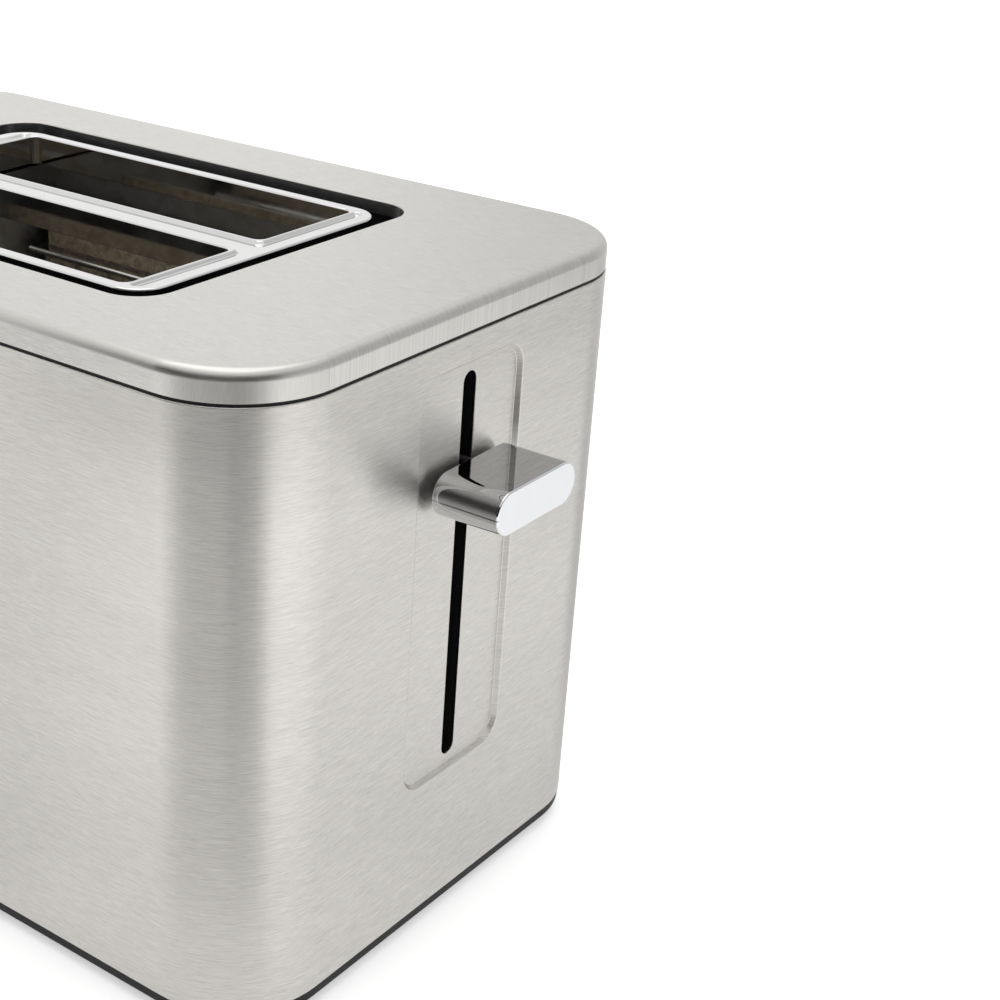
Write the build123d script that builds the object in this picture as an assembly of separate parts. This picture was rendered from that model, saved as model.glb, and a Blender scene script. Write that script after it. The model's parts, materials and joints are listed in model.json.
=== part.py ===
from build123d import *
import os

os.makedirs("parts", exist_ok=True)

# A two-slot pop up toaster, in millimetres, +Z up, standing on z = 0. The lever is on the +X end
# and the controls are on the front, -Y. Every piece is drawn about the middle of the body, and
# export() moves it so that the origin is under the middle of the toaster's overall box.

# Outer casing
LENGTH = 290.0
DEPTH = 176.0
CORNER = 30.0
SHEET = 0.8
FOOT_STAND = 3.0
BASE_BAND = 3.6
SHELL_LOW = FOOT_STAND + BASE_BAND
SHELL_HIGH = 180.5
SEAM = 0.8
LID_LOW = SHELL_HIGH + SEAM
LID_HIGH = 189.6
LID_EDGE = 3.0
LID_INSET = 0.2
SEAM_INSET = 0.6
END = LENGTH / 2
SIDE = DEPTH / 2
INNER_GAP = 0.2
SEAM_Y = SIDE - CORNER

# Opening in the lid, and the polished frame in it with its two bread slots
OPENING_HALF_X = 84.3
OPENING_HALF_Y = 59.4
OPENING_CORNER = 11.6
COLLAR_DROP = 4.2
FRAME_HALF_X = 77.2
FRAME_HALF_Y = 52.3
FRAME_CORNER = 10.0
FRAME_EDGE = 0.6
FRAME_TOP = 188.4
FRAME_DISH = 1.0
FRAME_BEAD = 4.3
FRAME_SHEET = 1.0
DISH_CORNER = 4.0
DISH_TAPER = 45
SLOT_HALF_X = 68.0
SLOT_HALF_Y = 21.2
SLOT_CENTRE_Y = 27.1
SLOT_CORNER = 3.0
SLOT_LIP_LOW = 179.0
SLOT_LIP_HIGH = FRAME_TOP - 0.1
LINER_WALL = 1.8
PLATE_HOLE_X = 72.0
PLATE_HOLE_Y = 50.0

# Lever: recess and slot in the +X end, arm and knob
LEVER_Y = 2.5
LEVER_Z = 139.6
RECESS_HALF_Y = 23.3
RECESS_LOW = 49.0
RECESS_HIGH = 173.0
RECESS_DEEP = 1.5
RECESS_CORNER = 8.0
RECESS_TAPER = 40
RECESS_RIM = 1.2
LEVER_SLOT_WIDE = 5.8
LEVER_SLOT_LOW = 52.8
LEVER_SLOT_HIGH = 169.3
KNOB_WIDE = 37.4
KNOB_TALL = 12.3
KNOB_BACK = END + 0.8
KNOB_FACE = END + 21.6
KNOB_WALL = 2.0
KNOB_EDGE = 0.5
ARM_THICK = 2.4
ARM_TALL = 10.0
ARM_TIP = END + 12.0
TRAVEL_DOWN = 78.0

# Chassis
CHASSIS_X = 74.0
CHASSIS_SHEET = 1.0
CHASSIS_HALF_Y = 68.0
CHASSIS_LOW = 15.0
CHASSIS_HIGH = 176.0
LEG_INNER_Y = 59.5
SHIELD_Y = 62.0
SHIELD_SHEET = 0.6
LOUVRE_PITCH = 45.0
LOUVRE_HALF = 15.0
PLATE_LOW = 178.5
FLANGE = 13.0
SCREW_X = 81.5
BASE_SCREW_Y = 63.3
BASE_SCREW_R = 2.0
BASE_HEAD_R = 3.5
HEAD_SEAT_R = 3.8
HEAD_SEAT_Z = 4.4
TOP_SCREW_Y = 65.2
TOP_SCREW_R = 1.5
TOP_HEAD_R = 2.7
BOSS_R = 3.5

# Heating elements and bread guards
MICA_Y = 53.0
MICA_SHEET = 0.6
MICA_HALF_X = 68.0
MICA_LOW = 25.0
MICA_HIGH = 165.0
MICA_TAB = 10.0
TURNS = 13
TURN_PITCH = 9.0
RIBBON_WIDE = 1.5
RIBBON_THICK = 0.2
GUARD_OUT = 17.0
GUARD_LOW = 34.0
GUARD_HIGH = 150.0
GUARD_WIRE = 1.6
GUARD_ROD = 2.0
GUARD_WIRES = 9
GUARD_PITCH = 15.0
PIVOT_CLEARANCE = 0.05

# Carriage
RACK_Z = 114.0
RACK_TALL = 8.0
RACK_THICK = 1.2
RACK_HALF_Y = 11.0
RACK_WIRES = 8
RACK_WIRE_R = 0.9
RACK_SLOT_LOW = 28.0
RACK_SLOT_HIGH = 142.0
WEB_X = 86.0
WEB_SHEET = 1.2
GUIDE_X = 96.0
GUIDE_Y = -14.0
GUIDE_R = 3.0
BUSH_R = 5.0
SPRING_Y = -30.0
SPRING_R = 4.0
SPRING_WIRE = 0.8
SPRING_LOW = 124.0
SPRING_HIGH = 168.0
SPRING_TURNS = 22
SPRING_HOLE_R = 1.2
SHELF_OUT = 108.0
LATCH_Z = 108.0
LATCH_Y = 17.0
LATCH_THICK = 2.5
MAGNET_X = 98.0
MAGNET_TOP = LATCH_Z - TRAVEL_DOWN - 0.2
MAGNET_LOW = 12.0

# Base, crumb tray and cord entry
FLOOR_TOP = 5.6
BASE_INSET = 0.3
BASE_WALL_TOP = 14.0
MOULDED_IN = 3.0
BASE_IN = 3.2
BASE_EDGE = 1.2
RAIL_START = -138.0
RAIL_Y = 46.0
RAIL_HALF = 1.5
GUIDE_RAIL_Y = 56.2
VENTS = 9
VENT_PITCH = 12.0
VENT_WIDE = 3.0
VENT_Y = 74.0
VENT_HALF = 7.0
SPIGOT_R = 2.4
SPIGOT_HEAD_R = 3.4
NOTCH_HALF_Y = 57.0
NOTCH_HIGH = 20.0
TRAY_HALF_Y = 54.5
TRAY_LOW = 8.0
TRAY_WALL = 5.0
TRAY_SHEET = 0.8
TRAY_END_X = 70.0
TRAY_LIP = 3.0
FOOT_R = 8.0
FOOT_X = 118.0
FOOT_Y = 62.0
GLAND_X = -104.0
GLAND_Z = 30.0
GLAND_R = 7.0
GLAND_OUT = 10.0
GLAND_FLANGE_R = 8.5
GLAND_TIP_R = 6.0
CORD_R = 3.7

# Controls on the front
CONTROL_X = -85.0
DIAL_Z = 62.0
DIAL_R = 18.0
DIAL_OUT = 12.0
DIAL_EDGE = 1.2
POINTER_WIDE = 1.2
POINTER_DEEP = 0.6
RING_OUT = 1.4
DIAL_SHAFT_R = 3.0
BUTTON_Z = (102.0, 122.0, 142.0)
BUTTON_R = 5.7
BUTTON_OUT = 1.8
BUTTON_STEM_R = 2.5
LAMP_X = CONTROL_X + 15.0
LAMP_R = 1.5
HOUSING_HALF_X = 22.0
HOUSING_LOW = 36.0
HOUSING_HIGH = 156.0
HOUSING_BACK = -SIDE + 9.5
HOUSING_WALL = 2.0
BOARD_Y = -71.0
BOARD_SHEET = 1.6
POWER_X = 112.0

BODY_X = -(KNOB_FACE - END - TRAY_LIP) / 2


def box(x0, x1, y0, y1, z0, z1):
    """A block between two corners."""
    middle = Pos((x0 + x1) / 2, (y0 + y1) / 2, (z0 + z1) / 2)
    return middle * Box(x1 - x0, y1 - y0, z1 - z0)


def rod_x(y, z, radius, x0, x1):
    """A round rod along X."""
    return Pos((x0 + x1) / 2, y, z) * Rot(0, 90, 0) * Cylinder(radius, x1 - x0)


def rod_y(x, z, radius, y0, y1):
    """A round rod along Y."""
    return Pos(x, (y0 + y1) / 2, z) * Rot(90, 0, 0) * Cylinder(radius, y1 - y0)


def rod_z(x, y, radius, z0, z1):
    """A round rod along Z."""
    return Pos(x, y, (z0 + z1) / 2) * Cylinder(radius, z1 - z0)


def pad(half_x, half_y, corner, z0, z1, y=0.0):
    """An upright block with rounded corners, centred on x = 0."""
    return Pos(0, y, z0) * extrude(RectangleRounded(2 * half_x, 2 * half_y, corner), z1 - z0)


def outline(inset, z0, z1):
    """A block with the casing's plan outline, drawn in by inset."""
    return pad(END - inset, SIDE - inset, CORNER - inset, z0, z1)


def ring(outer, inner, z0, z1):
    """A wall that follows the casing's plan outline, between two insets."""
    return outline(outer, z0, z1) - outline(inner, z0 - 1, z1 + 1)


def group(pieces):
    """Separate solids in one shape."""
    whole = pieces[0]
    for piece in pieces[1:]:
        whole += piece
    return whole


def export(name, shape):
    """Move a piece from the body's frame to the part's frame and write it."""
    export_step(Pos(BODY_X, 0, 0) * shape, f"parts/{name}.step")


# ---- Casing ----


def end_plane(depth):
    """A sketch plane on the +X end, looking inwards, at a depth under the surface."""
    middle = (RECESS_LOW + RECESS_HIGH) / 2
    return Plane(origin=(END - depth, LEVER_Y, middle), x_dir=(0, 1, 0), z_dir=(-1, 0, 0))


def lever_slot(width, x0, x1):
    """The upright slot for the lever arm, as a solid between two X positions."""
    tall = LEVER_SLOT_HIGH - LEVER_SLOT_LOW + width - LEVER_SLOT_WIDE
    middle = (LEVER_SLOT_LOW + LEVER_SLOT_HIGH) / 2
    plane = Plane(origin=(x0, LEVER_Y, middle), x_dir=(0, 1, 0), z_dir=(1, 0, 0))
    return extrude(plane * SlotOverall(tall, width, rotation=90), x1 - x0)


def wrap(low_y, high_y):
    """The casing wall between two Y positions."""
    return ring(0, SHEET, SHELL_LOW, SHELL_HIGH) & box(
        -END - 1, END + 1, low_y, high_y, SHELL_LOW - 1, SHELL_HIGH + 1
    )


def front_sheet():
    """The front wall with both front corners, and the holes for the controls."""
    sheet = wrap(-SIDE - 1, -SEAM_Y)
    sheet -= rod_y(CONTROL_X, DIAL_Z, DIAL_SHAFT_R + 1.5, -SIDE - 1, -SIDE + 5)
    for z in BUTTON_Z:
        sheet -= rod_y(CONTROL_X, z, BUTTON_R + 0.3, -SIDE - 1, -SIDE + 5)
        sheet -= rod_y(LAMP_X, z, LAMP_R, -SIDE - 1, -SIDE + 5)
    return sheet


def rear_sheet():
    """The rear wall with both rear corners, and the hole for the cord bush."""
    return wrap(SEAM_Y, SIDE + 1) - rod_y(GLAND_X, GLAND_Z, GLAND_R, SIDE - 5, SIDE + 1)


def lever_end_sheet():
    """The flat wall at the lever end, with the pressed recess round the lever slot."""
    tall = RECESS_HIGH - RECESS_LOW
    press = RectangleRounded(2 * RECESS_HALF_Y, tall, RECESS_CORNER)
    back = RectangleRounded(2 * RECESS_HALF_Y + SHEET, tall + SHEET, RECESS_CORNER + SHEET / 2)
    sheet = box(END - SHEET, END, -SEAM_Y, SEAM_Y, SHELL_LOW, SHELL_HIGH)
    sheet += extrude(end_plane(SHEET) * back, RECESS_DEEP, taper=RECESS_TAPER)
    sheet -= extrude(end_plane(0) * press, RECESS_DEEP, taper=RECESS_TAPER)
    rim = [edge for edge in sheet.edges().group_by(Axis.X)[-1] if is_recess_rim(edge)]
    sheet = fillet(rim, RECESS_RIM)
    return sheet - lever_slot(LEVER_SLOT_WIDE, END - 5, END + 1)


def is_recess_rim(edge):
    """True for an edge of the recess, and not of the sheet's outline."""
    middle = edge.center()
    return abs(middle.Y - LEVER_Y) < RECESS_HALF_Y + 1 and RECESS_LOW - 1 < middle.Z < RECESS_HIGH + 1


def far_end_sheet():
    """The flat wall at the far end, with the notch for the crumb tray."""
    sheet = box(-END, -END + SHEET, -SEAM_Y, SEAM_Y, SHELL_LOW, SHELL_HIGH)
    return sheet - box(-END - 1, 0, -NOTCH_HALF_Y, NOTCH_HALF_Y, SHELL_LOW - 1, NOTCH_HIGH)


def lid():
    """The pressed top cover: a rounded edge, and a collar turned down round the opening."""
    skin = outline(LID_INSET, LID_LOW, LID_HIGH)
    skin = fillet(skin.edges().group_by(Axis.Z)[-1], LID_EDGE)
    hollow = outline(LID_INSET + SHEET, LID_LOW - 1, LID_HIGH - SHEET)
    hollow = fillet(hollow.edges().group_by(Axis.Z)[-1], LID_EDGE - SHEET)
    collar_top = LID_HIGH - SHEET
    collar_low = LID_HIGH - COLLAR_DROP
    half_x = OPENING_HALF_X + SHEET
    half_y = OPENING_HALF_Y + SHEET
    skin -= hollow
    skin += pad(half_x, half_y, OPENING_CORNER + SHEET, collar_low, collar_top)
    skin -= pad(OPENING_HALF_X, OPENING_HALF_Y, OPENING_CORNER, LID_LOW - 1, LID_HIGH + 1)
    return skin


def upper_frame():
    """The black moulding between casing and lid. Its rim shows as the seam, and its plate is
    the dark floor of the gap round the slot frame."""
    frame = outline(SEAM_INSET, SHELL_HIGH, LID_LOW)
    frame += outline(SHEET + INNER_GAP, PLATE_LOW, SHELL_HIGH)
    frame += ring(SHEET + INNER_GAP, MOULDED_IN, PLATE_LOW - 4, PLATE_LOW)
    frame += ring(LID_INSET + SHEET + INNER_GAP, MOULDED_IN, LID_LOW, LID_LOW + 3.5)
    half_x = OPENING_HALF_X + SHEET + INNER_GAP
    half_y = OPENING_HALF_Y + SHEET + INNER_GAP
    corner = OPENING_CORNER + SHEET + INNER_GAP
    wall = pad(half_x + LINER_WALL, half_y + LINER_WALL, corner + LINER_WALL, LID_LOW, LID_HIGH - SHEET)
    frame += wall - pad(half_x, half_y, corner, LID_LOW - 1, LID_HIGH)
    for x in (-SCREW_X, SCREW_X):
        for y in (-TOP_SCREW_Y, TOP_SCREW_Y):
            frame += rod_z(x, y, BOSS_R, CHASSIS_HIGH, PLATE_LOW)
            frame -= rod_z(x, y, TOP_SCREW_R + 0.1, CHASSIS_HIGH - 1, LID_LOW + 1)
    return frame - pad(PLATE_HOLE_X, PLATE_HOLE_Y, DISH_CORNER, PLATE_LOW - 1, LID_LOW + 1)


def slot_frame():
    """The polished frame in the opening: a raised bead, a dished top and two slots with raised lips."""
    frame = pad(FRAME_HALF_X, FRAME_HALF_Y, FRAME_CORNER, LID_LOW, FRAME_TOP)
    frame = fillet(frame.edges().group_by(Axis.Z)[-1], FRAME_EDGE)
    dish_x = FRAME_HALF_X - FRAME_BEAD
    dish_y = SLOT_CENTRE_Y + SLOT_HALF_Y
    dish = Plane.XY.offset(FRAME_TOP) * RectangleRounded(2 * dish_x, 2 * dish_y, DISH_CORNER)
    frame -= extrude(dish, -FRAME_DISH, taper=DISH_TAPER)
    under = FRAME_TOP - FRAME_DISH - FRAME_SHEET
    half_x = FRAME_HALF_X - FRAME_SHEET
    half_y = FRAME_HALF_Y - FRAME_SHEET
    frame -= pad(half_x, half_y, FRAME_CORNER - FRAME_SHEET, LID_LOW - 1, under)
    for y in (-SLOT_CENTRE_Y, SLOT_CENTRE_Y):
        lip_x = SLOT_HALF_X + FRAME_SHEET
        lip_y = SLOT_HALF_Y + FRAME_SHEET
        frame += pad(lip_x, lip_y, SLOT_CORNER + FRAME_SHEET, SLOT_LIP_LOW, SLOT_LIP_HIGH, y)
        frame -= pad(SLOT_HALF_X, SLOT_HALF_Y, SLOT_CORNER, SLOT_LIP_LOW - 1, FRAME_TOP + 1, y)
    return frame


def base_moulding():
    """The black plastic base: the low band under the casing, floor, tray rails and vents."""
    base = outline(BASE_INSET, FOOT_STAND, SHELL_LOW)
    base = fillet(base.edges().group_by(Axis.Z)[0], BASE_EDGE)
    base -= outline(BASE_IN, FLOOR_TOP, SHELL_LOW + 1)
    base += ring(SHEET + INNER_GAP, BASE_IN, SHELL_LOW, BASE_WALL_TOP)
    base -= box(-END, -END + 6, -NOTCH_HALF_Y, NOTCH_HALF_Y, FLOOR_TOP, BASE_WALL_TOP + 1)
    for side in (-1, 1):
        y = side * RAIL_Y
        base += box(RAIL_START, TRAY_END_X, y - RAIL_HALF, y + RAIL_HALF, FLOOR_TOP, TRAY_LOW - 0.1)
        y = side * GUIDE_RAIL_Y
        base += box(RAIL_START, TRAY_END_X, y - 1, y + 1, FLOOR_TOP, BASE_WALL_TOP - 2)
        y = side * VENT_Y
        for vent in range(VENTS):
            x = (vent - (VENTS - 1) / 2) * VENT_PITCH - VENT_WIDE / 2
            base -= box(x, x + VENT_WIDE, y - VENT_HALF, y + VENT_HALF, 2, FLOOR_TOP + 1)
    for x in (-SCREW_X, SCREW_X):
        for y in (-BASE_SCREW_Y, BASE_SCREW_Y):
            base -= rod_z(x, y, BASE_SCREW_R + 0.1, 2, 7)
            base -= rod_z(x, y, HEAD_SEAT_R, 2, HEAD_SEAT_Z)
    for x in (-FOOT_X, FOOT_X):
        for y in (-FOOT_Y, FOOT_Y):
            base -= rod_z(x, y, SPIGOT_R + 0.1, 2, 7)
    return base


def feet():
    """Four rubber feet, each a pad with a spigot up through the base."""
    pieces = []
    for x in (-FOOT_X, FOOT_X):
        for y in (-FOOT_Y, FOOT_Y):
            foot = Pos(x, y, FOOT_STAND / 2) * Cone(FOOT_R - 0.8, FOOT_R, FOOT_STAND)
            foot += rod_z(x, y, SPIGOT_R, FOOT_STAND, FLOOR_TOP)
            foot += rod_z(x, y, SPIGOT_HEAD_R, FLOOR_TOP, FLOOR_TOP + 1.2)
            pieces.append(foot)
    return group(pieces)


def base_screws():
    """Four screws from below, through the base into the chassis feet."""
    pieces = []
    for x in (-SCREW_X, SCREW_X):
        for y in (-BASE_SCREW_Y, BASE_SCREW_Y):
            head = rod_z(x, y, BASE_HEAD_R, 3.1, HEAD_SEAT_Z)
            head -= box(x - 3, x + 3, y - 0.5, y + 0.5, 3, 3.7)
            pieces.append(head + rod_z(x, y, BASE_SCREW_R, HEAD_SEAT_Z, 12))
    return group(pieces)


def top_screws():
    """Four screws that hold the upper frame down on the chassis, under the lid."""
    pieces = []
    for x in (-SCREW_X, SCREW_X):
        for y in (-TOP_SCREW_Y, TOP_SCREW_Y):
            head = rod_z(x, y, TOP_HEAD_R, LID_LOW, LID_LOW + 1.7)
            pieces.append(head + rod_z(x, y, TOP_SCREW_R, CHASSIS_HIGH - 6, LID_LOW))
    return group(pieces)


def cord_gland():
    """The bush in the rear wall that the mains cord passes through, tapered outside."""
    cone = Rot(-90, 0, 0) * Cone(GLAND_FLANGE_R, GLAND_TIP_R, GLAND_OUT)
    gland = Pos(GLAND_X, SIDE + GLAND_OUT / 2, GLAND_Z) * cone
    gland += rod_y(GLAND_X, GLAND_Z, GLAND_R - 0.1, SIDE - SHEET, SIDE)
    gland += rod_y(GLAND_X, GLAND_Z, GLAND_FLANGE_R, SIDE - 6, SIDE - SHEET)
    return gland - rod_y(GLAND_X, GLAND_Z, CORD_R, SIDE - 7, SIDE + GLAND_OUT + 1)


# ---- Chassis and heating ----


def end_plate(side):
    """One upright chassis plate, with rack slots, guard pivots, feet and screw flanges.
    side is +1 at the lever end and -1 at the far end."""
    face = side * CHASSIS_X
    back = face + side * CHASSIS_SHEET
    flange = face + side * FLANGE
    x0, x1 = sorted((face, back))
    f0, f1 = sorted((face, flange))
    plate = box(x0, x1, -CHASSIS_HALF_Y, CHASSIS_HALF_Y, CHASSIS_LOW, CHASSIS_HIGH)
    for hand in (-1, 1):
        y0, y1 = sorted((hand * LEG_INNER_Y, hand * CHASSIS_HALF_Y))
        plate += box(x0, x1, y0, y1, FLOOR_TOP, CHASSIS_LOW)
        plate += box(f0, f1, y0, y1, FLOOR_TOP, FLOOR_TOP + CHASSIS_SHEET)
        plate += box(f0, f1, y0, y1, CHASSIS_HIGH - CHASSIS_SHEET, CHASSIS_HIGH)
        base_hole = BASE_SCREW_R + PIVOT_CLEARANCE
        top_hole = TOP_SCREW_R + PIVOT_CLEARANCE
        plate -= rod_z(side * SCREW_X, hand * BASE_SCREW_Y, base_hole, FLOOR_TOP - 1, FLOOR_TOP + 2)
        plate -= rod_z(side * SCREW_X, hand * TOP_SCREW_Y, top_hole, CHASSIS_HIGH - 2, CHASSIS_HIGH + 1)
        slot_y = hand * SLOT_CENTRE_Y
        plate -= box(x0 - 1, x1 + 1, slot_y - 4, slot_y + 4, RACK_SLOT_LOW, RACK_SLOT_HIGH)
        for out in (-GUARD_OUT, GUARD_OUT):
            hole = GUARD_ROD / 2 + PIVOT_CLEARANCE
            plate -= rod_x(slot_y + out, GUARD_LOW, hole, x0 - 1, x1 + 1)
    return plate


def lever_end_plate():
    """The end plate at the lever, with the two shelves that hold the guide rod."""
    plate = end_plate(1)
    x0 = CHASSIS_X + CHASSIS_SHEET
    plate += box(x0, SHELF_OUT, -38, 8, 171, 172.2)
    plate += box(x0, SHELF_OUT, GUIDE_Y - 10, GUIDE_Y + 10, 14.8, 16)
    plate -= rod_z(GUIDE_X, GUIDE_Y, GUIDE_R + 0.02, 14, 173)
    plate -= rod_z(GUIDE_X, SPRING_Y, SPRING_HOLE_R, 170, 173)
    return plate


def heat_shield(side):
    """A reflector sheet between the end plates, outside the outer heating element."""
    y0, y1 = sorted((side * SHIELD_Y, side * (SHIELD_Y + SHIELD_SHEET)))
    shield = box(-CHASSIS_X, CHASSIS_X, y0, y1, CHASSIS_LOW, CHASSIS_HIGH)
    for x in (-LOUVRE_PITCH, 0, LOUVRE_PITCH):
        for z in (35, 160):
            shield -= box(x - LOUVRE_HALF, x + LOUVRE_HALF, y0 - 1, y1 + 1, z - 1.5, z + 1.5)
    return shield


def mica_board(y):
    """A thin insulating board that carries a heating wire, with a tab at each corner."""
    y0 = y - MICA_SHEET / 2
    y1 = y + MICA_SHEET / 2
    board = box(-MICA_HALF_X, MICA_HALF_X, y0, y1, MICA_LOW, MICA_HIGH)
    for low in (MICA_LOW, MICA_HIGH - MICA_TAB):
        board += box(-CHASSIS_X, CHASSIS_X, y0, y1, low, low + MICA_TAB)
    return board


def heating_wire(y):
    """The flat wire wound round a board, one closed turn after another."""
    half_y = MICA_SHEET / 2
    middle = (MICA_LOW + MICA_HIGH) / 2
    first = middle - TURN_PITCH * (TURNS - 1) / 2
    out_x = MICA_HALF_X + RIBBON_THICK
    out_y = half_y + RIBBON_THICK
    turns = []
    for turn in range(TURNS):
        z0 = first + turn * TURN_PITCH - RIBBON_WIDE / 2
        z1 = z0 + RIBBON_WIDE
        loop = box(-out_x, out_x, y - out_y, y + out_y, z0, z1)
        turns.append(loop - box(-MICA_HALF_X, MICA_HALF_X, y - half_y, y + half_y, z0, z1))
    return group(turns)


def bread_guard(y):
    """A wire guard beside the bread: a pivot rod below, a top rod and upright wires."""
    reach = CHASSIS_X + CHASSIS_SHEET + 1.5
    guard = rod_x(y, GUARD_LOW, GUARD_ROD / 2, -reach, reach)
    guard += rod_x(y, GUARD_HIGH, GUARD_ROD / 2, -MICA_HALF_X, MICA_HALF_X)
    for wire in range(GUARD_WIRES):
        x = (wire - (GUARD_WIRES - 1) / 2) * GUARD_PITCH
        guard += rod_z(x, y, GUARD_WIRE / 2, GUARD_LOW, GUARD_HIGH)
    return guard


# ---- Carriage ----


def bread_rack(y):
    """The bar that carries one slice, with cross wires under the bread."""
    low = RACK_Z - RACK_TALL / 2
    high = RACK_Z + RACK_TALL / 2
    rack = box(-CHASSIS_X - 4, WEB_X, y - RACK_THICK / 2, y + RACK_THICK / 2, low, high)
    for wire in range(RACK_WIRES):
        x = (wire - (RACK_WIRES - 1) / 2) * GUARD_PITCH
        rack += rod_y(x, high - 0.8, RACK_WIRE_R, y - RACK_HALF_Y, y + RACK_HALF_Y)
    return rack


def carriage_bracket():
    """The folded bracket that joins the racks, the guide bush, the latch and the lever arm."""
    reach = SLOT_CENTRE_Y + 8
    top = RACK_Z + 8
    bottom = RACK_Z - 8
    outer = GUIDE_X + 10
    over = LATCH_Z + LATCH_THICK
    bracket = box(WEB_X, WEB_X + WEB_SHEET, -reach, reach, bottom, top)
    for z in (bottom, top - WEB_SHEET):
        bracket += box(WEB_X, outer, GUIDE_Y - 10, GUIDE_Y + 10, z, z + WEB_SHEET)
    bracket += box(WEB_X, outer, SPRING_Y - 6, GUIDE_Y - 10, top - WEB_SHEET, top)
    bracket += box(WEB_X, outer, LATCH_Y - 10, LATCH_Y + 10, over, over + WEB_SHEET)
    return bracket - rod_z(GUIDE_X, GUIDE_Y, BUSH_R + 0.02, bottom - 1, top + 1)


def guide_bush():
    """The sleeve that runs on the guide rod."""
    bush = rod_z(GUIDE_X, GUIDE_Y, BUSH_R, RACK_Z - 11, RACK_Z + 11)
    return bush - rod_z(GUIDE_X, GUIDE_Y, GUIDE_R + 0.06, RACK_Z - 12, RACK_Z + 12)


def latch_plate():
    """The steel plate that the magnet holds when the carriage is down."""
    return box(MAGNET_X - 7, MAGNET_X + 7, LATCH_Y - 9, LATCH_Y + 9, LATCH_Z, LATCH_Z + LATCH_THICK)


def lever_arm():
    """The cranked strip from the carriage out through the lever slot into the knob."""
    low = LEVER_Z - ARM_TALL / 2
    high = LEVER_Z + ARM_TALL / 2
    side = WEB_X + WEB_SHEET
    points = [
        (side, 107), (100, 107), (126, low), (ARM_TIP, low),
        (ARM_TIP, high), (121, high), (95, 121), (side, 121),
    ]
    face = Plane.XZ.offset(-LEVER_Y - ARM_THICK / 2) * make_face(Polyline(points, close=True))
    return extrude(face, ARM_THICK)


def knob_bar(shrink, x0, x1):
    """A bar along X with the knob's stadium section, drawn in by shrink."""
    section = SlotOverall(KNOB_WIDE - 2 * shrink, KNOB_TALL - 2 * shrink)
    plane = Plane(origin=(x0, LEVER_Y, LEVER_Z), x_dir=(0, 1, 0), z_dir=(1, 0, 0))
    return extrude(plane * section, x1 - x0)


def lever_knob():
    """The plated knob: a hollow stadium bar with a socket for the arm."""
    knob = knob_bar(0, KNOB_BACK, KNOB_FACE)
    knob = fillet(knob.edges().group_by(Axis.X)[-1], KNOB_EDGE)
    knob -= knob_bar(KNOB_WALL, KNOB_BACK - 1, KNOB_FACE - KNOB_WALL)
    inside = KNOB_TALL / 2 - KNOB_WALL
    knob += box(KNOB_BACK, KNOB_FACE - 1, LEVER_Y - 4, LEVER_Y + 4, LEVER_Z - inside, LEVER_Z + inside)
    arm_y0 = LEVER_Y - ARM_THICK / 2
    arm_y1 = LEVER_Y + ARM_THICK / 2
    arm_z0 = LEVER_Z - ARM_TALL / 2
    arm_z1 = LEVER_Z + ARM_TALL / 2
    return knob - box(KNOB_BACK - 1, ARM_TIP, arm_y0, arm_y1, arm_z0, arm_z1)


def guide_rod():
    """The upright rod that the carriage slides on."""
    return rod_z(GUIDE_X, GUIDE_Y, GUIDE_R, 13, 174)


def return_spring():
    """The extension spring that lifts the carriage."""
    tall = SPRING_HIGH - SPRING_LOW
    path = Helix(pitch=tall / SPRING_TURNS, height=tall, radius=SPRING_R - SPRING_WIRE / 2)
    wire = Plane(origin=path @ 0, z_dir=path % 0) * Circle(SPRING_WIRE / 2)
    return Pos(GUIDE_X, SPRING_Y, SPRING_LOW) * sweep(wire, path, is_frenet=True)


def magnet_core():
    """The three-legged iron core of the holding magnet."""
    x0, x1 = MAGNET_X - 6, MAGNET_X + 6
    core = box(x0, x1, LATCH_Y - 9, LATCH_Y + 9, MAGNET_LOW, MAGNET_LOW + 4)
    for y0, y1 in ((-9, -6), (-3, 3), (6, 9)):
        core += box(x0, x1, LATCH_Y + y0, LATCH_Y + y1, MAGNET_LOW + 4, MAGNET_TOP)
    return core


def magnet_bobbin():
    """The plastic former round the core's middle leg."""
    low, high = MAGNET_LOW + 4.2, MAGNET_TOP - 1.5
    x0, x1 = MAGNET_X - 6.2, MAGNET_X + 6.2
    bobbin = box(x0 - 1, x1 + 1, LATCH_Y - 4, LATCH_Y + 4, low, high)
    for z in (low, high - 1):
        bobbin += box(x0 - 3, x1 + 3, LATCH_Y - 5.8, LATCH_Y + 5.8, z, z + 1)
    return bobbin - box(x0, x1, LATCH_Y - 3.1, LATCH_Y + 3.1, low - 1, high + 1)


def magnet_winding():
    """The copper wire on the bobbin."""
    low, high = MAGNET_LOW + 5.2, MAGNET_TOP - 2.5
    x0, x1 = MAGNET_X - 7.2, MAGNET_X + 7.2
    coil = box(x0 - 1.5, x1 + 1.5, LATCH_Y - 5.5, LATCH_Y + 5.5, low, high)
    return coil - box(x0, x1, LATCH_Y - 4, LATCH_Y + 4, low - 1, high + 1)


def magnet_bracket():
    """The plate that carries the magnet on the chassis."""
    start = CHASSIS_X + CHASSIS_SHEET
    return box(start, SHELF_OUT, LATCH_Y - 10, LATCH_Y + 10, MAGNET_LOW - 1.2, MAGNET_LOW)


def lever_guide():
    """The black plastic strip behind the lever slot, with a slot of its own."""
    guide = box(END - 6, END - 2.5, LEVER_Y - 14, LEVER_Y + 14, LEVER_SLOT_LOW - 4, LEVER_SLOT_HIGH + 4)
    return guide - lever_slot(LEVER_SLOT_WIDE + 1, END - 7, END - 1)


# ---- Electrics ----


def main_board():
    """The power board beside the carriage."""
    return box(POWER_X, POWER_X + BOARD_SHEET, -60, -6, 22, 110)


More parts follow.
